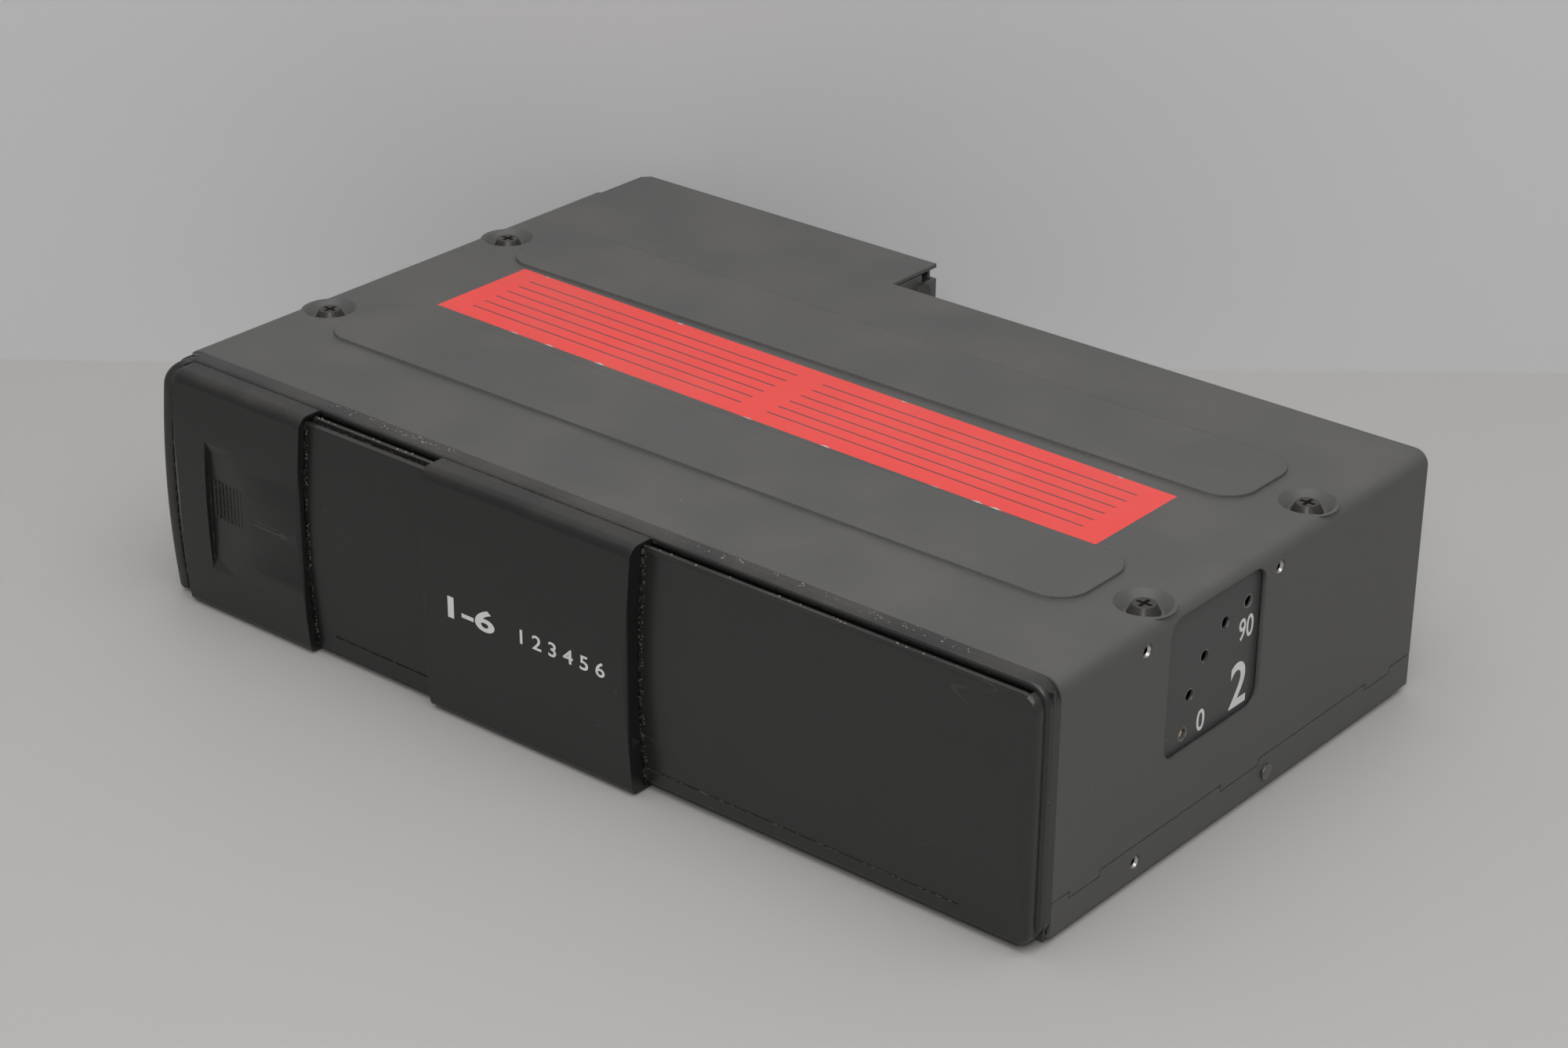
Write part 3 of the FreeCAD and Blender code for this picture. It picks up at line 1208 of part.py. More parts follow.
def make_carriage():
    """Lift deck with bushes, spindle motor, rods, arm ears and lift pins."""
    deck = Body("deck")
    deck.pad("XY", (DECK_BOTTOM, DECK_TOP),
             rectangle(DECK_LEFT, DECK_RIGHT, "deck_front", DECK_BACK),
             ("circle", PLAY_X, PLAY_Y, "spindle_shaft + 2.5"),
             round_rectangle(f"{PLAY_X} - 5", f"{PLAY_X} + 5", f"{LENS_Y} - {PICKUP_TRAVEL} - 5",
                             f"{LENS_Y} + 5", "4"),
             *[("circle", x, y, "post_radius + running") for x, y in POSTS])
    flange_top = f"({DECK_TOP} + 6)"
    deck.pad("YZ", (f"{DECK_RIGHT} - deck_steel", DECK_RIGHT), rectangle(
        "deck_front + 4", f"{PIN_FRONT} + {PIN_SPACING} + 8", DECK_BOTTOM, flange_top))
    for ear in (ARM_FRONT, ARM_BACK):
        deck.pad("XZ", (ear, f"{ear} + deck_steel"), [
            (f"{ARM_PIVOT_X} - 4", f"{DECK_TOP} - deck_steel / 2"),
            (DECK_RIGHT, f"{DECK_TOP} - deck_steel / 2"),
            (f"{ARM_PIVOT_X} + 2.6", f"{PIVOT_Z} + 2.4"),
            (f"{ARM_PIVOT_X} - 2.6", f"{PIVOT_Z} + 2.4")])
    bushes = []
    for x, y in POSTS:
        bushes.append(cut(
            rod("z", "bush_radius", x, y, (f"{DECK_TOP} - 0.3", f"{DECK_TOP} + bush_height")),
            [rod("z", "post_radius + running", x, y, (DECK_BOTTOM, f"{DECK_TOP} + 20"))]))
    pins = []
    for y in (PIN_FRONT, f"({PIN_FRONT} + {PIN_SPACING})"):
        pins.append(rod("x", "pin_radius", y, "pin_z",
                        (f"{DECK_RIGHT} - deck_steel / 2", f"{CAM_X} + cam_thick + 0.4"), "lift_pin"))
    hinge = rod("y", "arm_pin + running", ARM_PIVOT_X, PIVOT_Z,
                (f"{ARM_FRONT} - 1", f"{ARM_BACK} + 3"))
    place(cut(fuse([deck.body] + bushes + pins), [hinge]), "lift_deck")

    motor = cut(
        rod("z", "spindle_motor", PLAY_X, PLAY_Y,
            (f"{DECK_BOTTOM} - spindle_motor_height", DECK_BOTTOM)),
        [rod("z", "spindle_shaft + running", PLAY_X, PLAY_Y,
             (f"{DECK_BOTTOM} - spindle_motor_height + 1", f"{DECK_TOP} + 1"))])
    place(motor, "spindle_motor")

    rods, saddles = [], []
    for x in ROD_PLACES:
        rods.append(rod("y", "rod_radius", x, ROD_Z, (ROD_FRONT, ROD_BACK), "guide_rod"))
        for y in (ROD_FRONT, f"({ROD_BACK} - 1.5)"):
            saddle = box((f"{x} - 2.4", f"{x} + 2.4"), (y, f"{y} + 1.5"),
                         (f"{ROD_Z} - 2.4", DECK_BOTTOM), "saddle")
            saddles.append(cut(saddle, [rod("y", "rod_radius", x, ROD_Z,
                                            (f"{y} - 1", f"{y} + 3"))]))
    place(group(rods), "guide_rods")

    motor_front = f"({ROD_BACK} + 0.5)"
    can = box((f"{LEAD_X} - lead_motor", f"{LEAD_X} + lead_motor"),
              (motor_front, f"{motor_front} + 12"),
              (f"{ROD_Z} - 3.2", DECK_BOTTOM), "sled_motor_can")
    place(cut(can, [rod("y", "lead_radius + running", LEAD_X, ROD_Z,
                        (f"{motor_front} - 1", f"{motor_front} + 9"))]), "sled_motor")
    screw = rod("y", "lead_radius", LEAD_X, ROD_Z,
                (f"{ROD_FRONT} + 0.3", f"{motor_front} + 8"))
    place(screw, "lead_screw")
    end = box((f"{LEAD_X} - 3", f"{LEAD_X} + 3"), (ROD_FRONT, f"{ROD_FRONT} + 1.8"),
              (f"{ROD_Z} - 2.6", DECK_BOTTOM), "lead_end")
    saddles.append(cut(end, [rod("y", "lead_radius + running", LEAD_X, ROD_Z,
                                 (f"{ROD_FRONT} + 0.2", f"{ROD_FRONT} + 4"))]))
    place(group(saddles), "rod_saddles")


def make_pickup():
    """Sled on the guide rods, with its nut block and lens."""
    low = f"({ROD_Z} - sled_thick / 2)"
    high = f"({low} + sled_thick)"
    left = f"({PLAY_X} - rod_spread / 2 - sled_overhang)"
    right = f"({LEAD_X} + 3.4)"
    sled = Body("sled")
    sled.pad("XY", (low, high), [
        (left, SLED_FRONT), (f"{LEAD_X} - 5", SLED_FRONT), (f"{LEAD_X} - 5", f"{SLED_FRONT} + 4"),
        (right, f"{SLED_FRONT} + 4"), (right, f"{SLED_BACK} - 4"),
        (f"{LEAD_X} - 5", f"{SLED_BACK} - 4"), (f"{LEAD_X} - 5", SLED_BACK), (left, SLED_BACK)])
    sled.pad("XY", (f"{high} - 0.5", f"{DECK_TOP} - 0.6"), round_rectangle(
        f"{PLAY_X} - 4", f"{PLAY_X} + 4", f"{LENS_Y} - 4", f"{LENS_Y} + 4", "1.5"))
    bores = [rod("y", "rod_radius + running", x, ROD_Z, (f"{SLED_FRONT} - 1", f"{SLED_BACK} + 1"))
             for x in ROD_PLACES]
    bores.append(rod("y", "lead_radius + running", LEAD_X, ROD_Z,
                     (f"{SLED_FRONT} - 1", f"{SLED_BACK} + 1")))
    place(cut(sled.body, bores), "pickup_sled")
    place(cone("lens_radius", "lens_radius * 0.7", PLAY_X, LENS_Y,
               (f"{DECK_TOP} - 0.6", f"{DECK_TOP} + 0.2")), "pickup_lens")


def make_turntable():
    """Turntable with centring cone and shaft, and the clamp arm with its puck above."""
    table = fuse([
        rod("z", "turntable_radius", PLAY_X, PLAY_Y,
            ("disc_level - turntable_thick", "disc_level")),
        cone("cone_radius", "cone_radius * 0.75", PLAY_X, PLAY_Y,
             ("disc_level", "disc_level + cone_height")),
        rod("z", "spindle_shaft", PLAY_X, PLAY_Y,
            (f"{DECK_BOTTOM} - spindle_motor_height + 1.4", "disc_level"))])
    place(table, "turntable")

    puck_low = "(disc_level + disc_thick + puck_gap)"
    puck = cut(
        fuse([rod("z", "puck_radius", PLAY_X, PLAY_Y, (puck_low, f"{puck_low} + puck_thick")),
              rod("z", "puck_radius / 2", PLAY_X, PLAY_Y,
                  (f"{puck_low} + puck_thick - 0.2", ARM_Z))]),
        [cone("cone_radius + 0.4", "cone_radius * 0.75", PLAY_X, PLAY_Y,
              (f"{puck_low} - 0.5", f"{puck_low} + cone_height"))])
    place(puck, "clamp_puck")
    arm = Body("arm")
    bar_left, bar_right = f"({ARM_PIVOT_X} - 7)", f"({ARM_PIVOT_X} + 2)"
    bar_front = f"({ARM_FRONT} + deck_steel + 0.3)"
    bar_back = f"({ARM_BACK} - 0.3)"
    arm.pad("XY", (ARM_Z, f"{ARM_Z} + arm_thick"), [
        (bar_right, bar_front), (bar_right, bar_back), (bar_left, bar_back),
        (bar_left, f"{PLAY_Y} + 16"), (PLAY_X, f"{PLAY_Y} + 9", "8"), (PLAY_X, f"{PLAY_Y} - 9"),
        (bar_left, f"{PLAY_Y} - 16"), (bar_left, bar_front)])
    pivots = [rod("y", "arm_pin", ARM_PIVOT_X, PIVOT_Z, span) for span in (
        (f"{ARM_FRONT} - 0.6", f"{bar_front} + 3"), (f"{bar_back} - 3",
                                                     f"{ARM_BACK} + deck_steel + 0.6"))]
    place(fuse([arm.body] + pivots), "clamp_arm")


def make_lift_drive():
    """Guide posts, cam plate with sloping slots and rack, lift gear and its motor."""
    posts = [rod("z", "post_radius", x, y, (FRAME_TOP, POST_TOP), "post") for x, y in POSTS]
    place(group(posts), "lift_posts")

    near, far = CAM_X, f"({CAM_X} + cam_thick)"
    run = f"({LIFT_TRAVEL} * cam_ratio)"
    half = "(pin_radius + running)"
    cam = Body("cam")
    cam.pad("YZ", (near, far), rectangle(
        "cam_front", f"cam_front + {CAM_LENGTH}", "cam_bottom", CAM_TOP))
    for start in (PIN_FRONT, f"({PIN_FRONT} + {PIN_SPACING})"):
        length = "sqrt(cam_ratio ^ 2 + 1)"
        over_y, over_z = f"({half} / {length})", f"({half} * cam_ratio / {length})"
        end_y, end_z = f"({start} + {run})", f"(pin_z + {LIFT_TRAVEL})"
        cam.pocket("YZ", (f"{near} - 1", f"{far} + 1"), [
            (f"{start} - {over_y}", f"pin_z + {over_z}", f"{half} * 0.999"),
            (f"{start} + {over_y}", f"pin_z - {over_z}"),
            (f"{end_y} + {over_y}", f"{end_z} - {over_z}", f"{half} * 0.999"),
            (f"{end_y} - {over_y}", f"{end_z} + {over_z}")])
    rack_edge = f"({far} - rack_depth)"
    pitch = "(tooth_module * pi)"
    depth_in, depth_out = "(tooth_module * 1.25)", "(tooth_module * 0.9)"
    teeth = math.ceil(value(f"{run} / {pitch}")) + 3
    rack = [(near, "cam_front"), (near, f"cam_front + {CAM_LENGTH}"),
            (f"{rack_edge} + {depth_in}", f"cam_front + {CAM_LENGTH}")]
    first = f"({GEAR_Y} - 1.5 * {pitch})"
    half_root, half_tip = "(tooth_module * 0.95)", "(tooth_module * 0.42)"
    for tooth in reversed(range(teeth)):
        at = f"({first} + {pitch} * {tooth})"
        rack += [(f"{rack_edge} + {depth_in}", f"{at} + {half_root}"),
                 (f"{rack_edge} - {depth_out}", f"{at} + {half_tip}"),
                 (f"{rack_edge} - {depth_out}", f"{at} - {half_tip}"),
                 (f"{rack_edge} + {depth_in}", f"{at} - {half_root}")]
    rack.append((f"{rack_edge} + {depth_in}", "cam_front"))
    rack_low = f"({FRAME_TOP} + cam_play)"
    flange = Body("rack")
    flange.pad("XY", (rack_low, f"{rack_low} + rack_thick"), rack)
    place(fuse([cam.body, box((near, far), ("cam_front", f"cam_front + {CAM_LENGTH}"),
                              (rack_low, "cam_bottom + 0.5")), flange.body]), "cam_plate")

    gear = Body("gear")
    radius = "(tooth_module * tooth_count / 2)"
    outline = []
    count = int(value("tooth_count"))
    for tooth in range(count):
        for spot, reach in ((-0.31, "root"), (-0.13, "tip"), (0.13, "tip"), (0.31, "root")):
            size = (f"({radius} - tooth_module * 1.25)" if reach == "root"
                    else f"({radius} + tooth_module * 0.9)")
            angle = f"(({tooth} + {spot}) * 360deg / {count})"
            outline.append((f"{GEAR_X} + {size} * cos({angle})",
                            f"{GEAR_Y} + {size} * sin({angle})"))
    gear.pad("XY", (f"{FRAME_TOP} + gear_play", f"{FRAME_TOP} + gear_play + gear_thick"), outline)
    shaft = rod("z", "gear_shaft", GEAR_X, GEAR_Y, ("frame_base - 1.5", f"{FRAME_TOP} + gear_play + 3"))
    place(fuse([gear.body, shaft]), "lift_gear")
    motor = cut(rod("z", "lift_motor", GEAR_X, GEAR_Y, ("steel + 1.6", "frame_base")),
                [rod("z", "gear_shaft + running", GEAR_X, GEAR_Y, ("frame_base - 2", "frame_base + 1"))])
    place(motor, "lift_motor")


def make_main_board():
    """Circuit board on standoffs under the frame, with its chips."""
    low = "(steel + board_lift)"
    high = f"({low} + board_thick)"
    right = f"(board_left + {BOARD_WIDTH})"
    back = f"(board_front + {BOARD_DEPTH})"
    board = box(("board_left", right), ("board_front", back), (low, high), "board")
    legs = []
    for x in ("board_left + 5", f"{right} - 5"):
        for y in ("board_front + 5", f"{back} - 5"):
            legs.append(rod("z", "2", x, y, ("steel", low), "standoff"))
    place(board, "main_board")
    place(group(legs), "board_standoffs")
    chips = []
    for column, row, width, depth in ((0.2, 0.25, 20, 20), (0.45, 0.6, 14, 14),
                                      (0.7, 0.3, 16, 10), (0.82, 0.7, 10, 18),
                                      (0.25, 0.75, 12, 8)):
        x, y = f"(board_left + {BOARD_WIDTH} * {column})", f"(board_front + {BOARD_DEPTH} * {row})"
        chips.append(box((f"{x} - {width / 2}", f"{x} + {width / 2}"),
                         (f"{y} - {depth / 2}", f"{y} + {depth / 2}"),
                         (high, f"{high} + chip_height"), "chip"))
    place(group(chips), "board_chips")


def check_model():
    """Stop if any object failed or any piece is empty or unsound."""
    DOC.recompute()
    for item in DOC.Objects:
        if "Invalid" in item.State or "Error" in item.State:
            raise RuntimeError(f"{item.Name} ({item.Label}) failed: {item.State}")
    for node in NODES:
        if node.Shape.isNull() or not node.Shape.isValid() or not node.Shape.Solids:
            raise RuntimeError(f"{node.Label} has no sound shape")


def main():
    """Build every piece, check it and write its file."""
    make_top_cover()
    make_chassis()
    make_rear_box()
    make_bezel()
    make_grip_leaf()
    make_centre_leaf()
    make_screws()
    make_support_adjusters()
    make_magazine()
    make_eject_button()
    make_suspension()
    make_carriage()
    make_pickup()
    make_turntable()
    make_lift_drive()
    make_main_board()
    check_model()
    os.makedirs("parts", exist_ok=True)
    for node in NODES:
        node.Shape.exportStep(f"parts/{node.Label}.step")
        print(node.Label, len(node.Shape.Solids), round(node.Shape.Volume, 1))


main()
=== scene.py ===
"""Dresses a six-disc car changer: painted case, moulded sliding front, label, marks and studio."""

import logging
import math
import random
from collections.abc import Callable
from dataclasses import dataclass
from enum import Enum

import bmesh
import bpy
from mathutils import Matrix, Vector
from mathutils.bvhtree import BVHTree


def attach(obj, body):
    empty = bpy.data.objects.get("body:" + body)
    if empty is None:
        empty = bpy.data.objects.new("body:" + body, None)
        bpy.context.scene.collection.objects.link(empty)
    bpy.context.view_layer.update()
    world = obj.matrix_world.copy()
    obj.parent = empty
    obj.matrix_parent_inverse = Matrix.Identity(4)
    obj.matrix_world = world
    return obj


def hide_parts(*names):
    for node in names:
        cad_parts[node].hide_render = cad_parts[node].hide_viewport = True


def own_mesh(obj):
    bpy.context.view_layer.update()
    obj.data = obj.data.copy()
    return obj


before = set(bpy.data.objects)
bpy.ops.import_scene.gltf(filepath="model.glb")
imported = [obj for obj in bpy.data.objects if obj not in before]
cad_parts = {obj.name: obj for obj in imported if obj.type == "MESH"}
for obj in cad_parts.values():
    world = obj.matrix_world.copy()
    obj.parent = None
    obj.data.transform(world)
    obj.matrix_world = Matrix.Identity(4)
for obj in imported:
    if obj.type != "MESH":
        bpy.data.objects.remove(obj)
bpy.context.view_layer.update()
LOG = logging.getLogger("changer")

Colour = tuple[float, float, float]
Point = tuple[float, float, float]
Pair = tuple[float, float]
Socket = bpy.types.NodeSocket
Cuts = tuple[tuple[int, tuple[float, ...]], ...]

MM_PER_M = 1000
CASE_CORNER: Point = (128.525, 80.3, -1.2)
CASE_TOP = 60.2
ALONG_X, ALONG_Y, ALONG_Z = 0, 1, 2
BEVEL_SAMPLES = 4
SHARP_ANGLE = 0.6


def at(x: float, y: float, z: float) -> Vector:
    """Places a point of the case in the row frame.

    Args:
        x: millimetres from the case's left side.
        y: millimetres behind the front panel.
        z: millimetres above the case's underside.

    Returns:
        The point in metres.
    """
    corner_x, corner_y, corner_z = CASE_CORNER
    return Vector((x - corner_x, y - corner_y, z - corner_z)) / MM_PER_M


def stands(name: str, data: bpy.types.ID | None) -> bpy.types.Object:
    """Makes one object and links it to the scene.

    Args:
        name: its name.
        data: its mesh, curve, lamp or camera.

    Returns:
        The new object.
    """
    made = bpy.data.objects.new(name, data)
    bpy.context.scene.collection.objects.link(made)
    return made


def plain_name(material: bpy.types.Material) -> str:
    """Gives a material's name without the number that a copy gets."""
    return material.name.split(".")[0]


class Graph:
    """Adds nodes to one node tree and joins them."""

    def __init__(self, tree: bpy.types.NodeTree) -> None:
        """Keeps the tree that the nodes go into."""
        self.tree = tree

    @classmethod
    def emptied(cls, owner: bpy.types.Material | bpy.types.World) -> "Graph":
        """Gives a material or a world an empty node tree.

        Args:
            owner: the material or world.

        Returns:
            The graph of its tree.
        """
        owner.use_nodes = True
        owner.node_tree.nodes.clear()
        return cls(owner.node_tree)

    def feed(self, socket: Socket, value: object) -> None:
        """Links a socket to another, or sets its value.

        Args:
            socket: the input to feed.
            value: an output, or a plain value.
        """
        if isinstance(value, Socket):
            self.tree.links.new(value, socket)
        else:
            socket.default_value = value

    def add(self, kind: str, inputs: dict | None = None, **settings: object) -> bpy.types.Node:
        """Adds one node.

        Args:
            kind: the node's type name.
            inputs: sockets by name or number, with the value or link of each.
            settings: properties of the node itself.

        Returns:
            The new node.
        """
        node = self.tree.nodes.new(kind)
        for key, value in settings.items():
            setattr(node, key, value)
        for key, value in (inputs or {}).items():
            self.feed(node.inputs[key], value)
        return node

    def math(self, operation: str, *values: object) -> Socket:
        """Adds a sum, product or other number node and returns its output."""
        return self.add("ShaderNodeMath", dict(enumerate(values)), operation=operation).outputs[0]

    def times(self, first: object, second: object) -> Socket:
        """Multiplies two numbers."""
        return self.math("MULTIPLY", first, second)

    def less(self, first: object, second: object) -> Socket:
        """Takes the second number from the first."""
        return self.math("SUBTRACT", first, second)

    def blend(self, share: object, first: object, second: object, mode: str = "MIX") -> Socket:
        """Mixes two colours.

        Args:
            share: how much of the second colour shows.
            first: the colour below.
            second: the colour above.
            mode: the way they mix.

        Returns:
            The mixed colour.
        """
        share_socket, first_socket, second_socket, result_socket = 0, 6, 7, 2
        inputs = {share_socket: share, first_socket: first, second_socket: second}
        return self.add("ShaderNodeMix", inputs, data_type="RGBA", blend_type=mode).outputs[result_socket]

    def tinted(self, colour: Colour, shade: object) -> Socket:
        """Multiplies a plain colour by one shade."""
        tint = self.add("ShaderNodeCombineColor", {0: shade, 1: shade, 2: shade}).outputs[0]
        return self.blend(1.0, (*colour, 1.0), tint, "MULTIPLY")

    def ramp(self, value: object, ends: tuple, results: tuple = (0.0, 1.0),
             kind: str = "LINEAR") -> Socket:
        """Maps a value from one range to another, and holds it at both ends.

        Args:
            value: the number to map.
            ends: where the range starts and ends.
            results: what it becomes at the two ends.
            kind: how it goes between them.

        Returns:
            The mapped number.
        """
        inputs = {"Value": value, "From Min": ends[0], "From Max": ends[1], "To Min": results[0], "To Max": results[1]}
        return self.add("ShaderNodeMapRange", inputs, interpolation_type=kind).outputs[0]

    def step(self, value: object, ends: Pair) -> Socket:
        """Gives 0 below the first end, 1 above the second and a smooth rise between."""
        return self.ramp(value, ends, kind="SMOOTHSTEP")

    def noise(self, place: object, scale: object, detail: float = 2.0) -> Socket:
        """Adds a noise texture and returns its value."""
        node = self.add("ShaderNodeTexNoise", {"Vector": place, "Scale": scale, "Detail": detail})
        return node.outputs[0]


class Effect(Enum):
    """The shared effects that finishes are made of."""

    TONE = "tone_drift"
    GRAIN = "surface_grain"
    WEAR = "edge_wear"
    DUST = "dust_and_hollow_shade"
    SCRATCH = "hair_scratches"
    CUT = "cut_edge"


class EffectShelf:
    """Builds each shared effect once, as a node group."""

    SWING = 4.0
    WORN_TURN = (0.02, 0.16)
    WORN_RUNS = 60.0
    WORN_SHARES = (0.55, 0.5)
    WORN_LEVEL = 0.78
    WORN_SOFT = 0.07
    LOOKS_UP = (0.2, 0.95)
    FILM_SCALE, FILM_ENDS = 45.0, (0.3, 0.8)
    HOLLOW_REACH, HOLLOW_ENDS = 0.0022, (0.35, 0.8)
    HOLLOW_SAMPLES = 6
    GRIT_SCALE, GRIT_ENDS = 1300.0, (0.5, 0.62)
    SPECK_SCALE, SPECK_SIZE, SPECK_SOFT = 210.0, 0.06, 0.03
    SPECK_PATCH_SCALE, SPECK_PATCH_ENDS = 21.0, (0.56, 0.6)
    HAIR_TURN, HAIR_STRETCH = (0.3, 0.5, 0.9), (1.0, 5.0, 2.5)
    HAIR_WIDTH, HAIR_SOFT = 0.0035, 0.003
    HAIR_PATCH_SCALE, HAIR_PATCH_ENDS = 70.0, (0.6, 0.68)
    LOOKS_FORWARD = (0.9, 0.98)

    def __init__(self) -> None:
        """Builds all the groups."""
        recipes = (
            (Effect.TONE, self.tone_drift, "Shade", {"Scale": 30.0, "Amount": 0.1}),
            (Effect.GRAIN, self.surface_grain, "Height", {"Scale": 1500.0, "Stretch": 1.0}),
            (Effect.WEAR, self.edge_wear, "Mask", {"Radius": 0.0006, "Scale": 700.0, "Amount": 0.4}),
            (Effect.DUST, self.dust_and_hollow_shade, "Mask", {"Film": 0.2, "Corners": 0.5, "Specks": 0.3}),
            (Effect.SCRATCH, self.hair_scratches, "Mask", {"Scale": 22.0, "Amount": 0.3}),
            (Effect.CUT, self.cut_edge, "Mask", {"Amount": 1.0}),
        )
        self.groups = {recipe[0]: self.group(*recipe) for recipe in recipes}

    def group(self, effect: Effect, draw: Callable[[], Socket], output: str,
              inputs: dict[str, float]) -> bpy.types.NodeTree:
        """Builds one group.

        Args:
            effect: which effect it is.
            draw: adds its nodes.
            output: the name of what it puts out.
            inputs: the number sockets, with their starting values.

        Returns:
            The finished group.
        """
        tree = bpy.data.node_groups.new(effect.value, "ShaderNodeTree")
        for name, value in inputs.items():
            socket = tree.interface.new_socket(name=name, in_out="INPUT", socket_type="NodeSocketFloat")
            socket.default_value = value
        tree.interface.new_socket(name=output, in_out="OUTPUT", socket_type="NodeSocketFloat")
        graph = Graph(tree)
        source = graph.add("NodeGroupInput").outputs
        target = graph.add("NodeGroupOutput").inputs[0]
        self.drawn = graph, source, graph.add("ShaderNodeTexCoord").outputs["Object"]
        graph.feed(target, draw())
        return tree

    def place(self, graph: Graph, effect: Effect, **values: float) -> Socket:
        """Puts one effect into a material.

        Args:
            graph: the material's graph.
            effect: which effect.
            values: its input values.

        Returns:
            What the effect puts out.
        """
        node = graph.add("ShaderNodeGroup", node_tree=self.groups[effect])
        for key, value in values.items():
            node.inputs[key].default_value = value
        return node.outputs[0]

    def tone_drift(self) -> Socket:
        """Draws slow changes of shade over a surface.

        Returns:
            The shade, from 1 - Amount to 1 + Amount.
        """
        graph, source, place = self.drawn
        broad = graph.noise(place, source["Scale"], 4.0)
        swing = graph.times(graph.less(broad, 0.5), self.SWING)
        return graph.math("MULTIPLY_ADD", swing, source["Amount"], 1.0)

    def surface_grain(self) -> Socket:
        """Draws a moulded, rolled or brushed surface; Stretch pulls it out along x.

        Returns:
            The height.
        """
        graph, source, place = self.drawn
        squeeze = graph.math("DIVIDE", 1.0, source["Stretch"])
        factors = graph.add("ShaderNodeCombineXYZ", {0: squeeze, 1: 1.0, 2: 1.0}).outputs[0]
        drawn = graph.add("ShaderNodeVectorMath", {0: place, 1: factors}, operation="MULTIPLY").outputs[0]
        return graph.noise(drawn, source["Scale"], 3.0)

    def edge_wear(self) -> Socket:
        """Draws rubbed and chipped outer edges.

        Returns:
            The mask.
        """
        graph, source, place = self.drawn
        soft = graph.add("ShaderNodeBevel", {"Radius": source["Radius"]}, samples=BEVEL_SAMPLES).outputs[0]
        hard = graph.add("ShaderNodeNewGeometry").outputs["Normal"]
        turn = graph.add("ShaderNodeVectorMath", {0: soft, 1: hard}, operation="DOT_PRODUCT").outputs["Value"]
        edge = graph.step(graph.less(1.0, turn), self.WORN_TURN)
        rub = graph.noise(place, source["Scale"], 3.0)
        runs = graph.noise(place, self.WORN_RUNS)
        level = graph.less(self.WORN_LEVEL, graph.times(source["Amount"], 0.5))
        rub_share, runs_share = self.WORN_SHARES
        worn = graph.math("ADD", graph.times(rub, rub_share), graph.times(runs, runs_share))
        chips = graph.ramp(worn, (level, graph.math("ADD", level, self.WORN_SOFT)))
        return graph.times(edge, chips)

    def dust_and_hollow_shade(self) -> Socket:
        """Draws dust: a film on faces that look up, lines in corners and separate specks; where a finish gives it a
        dark colour, the corner lines are painted shade in hollows.

        Returns:
            The mask.
        """
        graph, source, place = self.drawn
        up = graph.add("ShaderNodeSeparateXYZ", {0: graph.add("ShaderNodeNewGeometry").outputs["Normal"]}).outputs[2]
        drift = graph.step(graph.noise(place, self.FILM_SCALE, 5.0), self.FILM_ENDS)
        film = graph.times(graph.times(graph.step(up, self.LOOKS_UP), drift), source["Film"])
        reach = {"Distance": self.HOLLOW_REACH}
        shade = graph.add("ShaderNodeAmbientOcclusion", reach, samples=self.HOLLOW_SAMPLES).outputs["AO"]
        hollow = graph.step(graph.less(1.0, shade), self.HOLLOW_ENDS)
        corner_breakup = graph.step(graph.noise(place, self.GRIT_SCALE, 4.0), self.GRIT_ENDS)
        corner = graph.times(graph.times(hollow, corner_breakup), source["Corners"])
        cells = graph.add("ShaderNodeTexVoronoi", {"Vector": place, "Scale": self.SPECK_SCALE}).outputs["Distance"]
        patch = graph.step(graph.noise(place, self.SPECK_PATCH_SCALE), self.SPECK_PATCH_ENDS)
        speck = graph.times(graph.step(graph.less(self.SPECK_SIZE, cells), (0.0, self.SPECK_SOFT)), patch)
        total = graph.math("ADD", graph.math("ADD", film, corner), graph.times(speck, source["Specks"]))
        return graph.math("MINIMUM", total, 1.0)

    def hair_scratches(self) -> Socket:
        """Draws fine light lines, few and short.

        Returns:
            The mask.
        """
        graph, source, place = self.drawn
        inputs = {"Vector": place, "Rotation": self.HAIR_TURN, "Scale": self.HAIR_STRETCH}
        turned = graph.add("ShaderNodeMapping", inputs).outputs[0]
        line = graph.math("ABSOLUTE", graph.less(graph.noise(turned, source["Scale"], 1.0), 0.5))
        thin = graph.step(graph.less(self.HAIR_WIDTH, line), (0.0, self.HAIR_SOFT))
        some = graph.step(graph.noise(place, self.HAIR_PATCH_SCALE), self.HAIR_PATCH_ENDS)
        return graph.times(graph.times(thin, some), source["Amount"])

    def cut_edge(self) -> Socket:
        """Draws bare sheet edges that look forward.

        Returns:
            The mask.
        """
        graph, source, _ = self.drawn
        normal = graph.add("ShaderNodeNewGeometry").outputs["True Normal"]
        forward = graph.times(graph.add("ShaderNodeSeparateXYZ", {0: normal}).outputs[1], -1.0)
        return graph.times(graph.step(forward, self.LOOKS_FORWARD), source["Amount"])


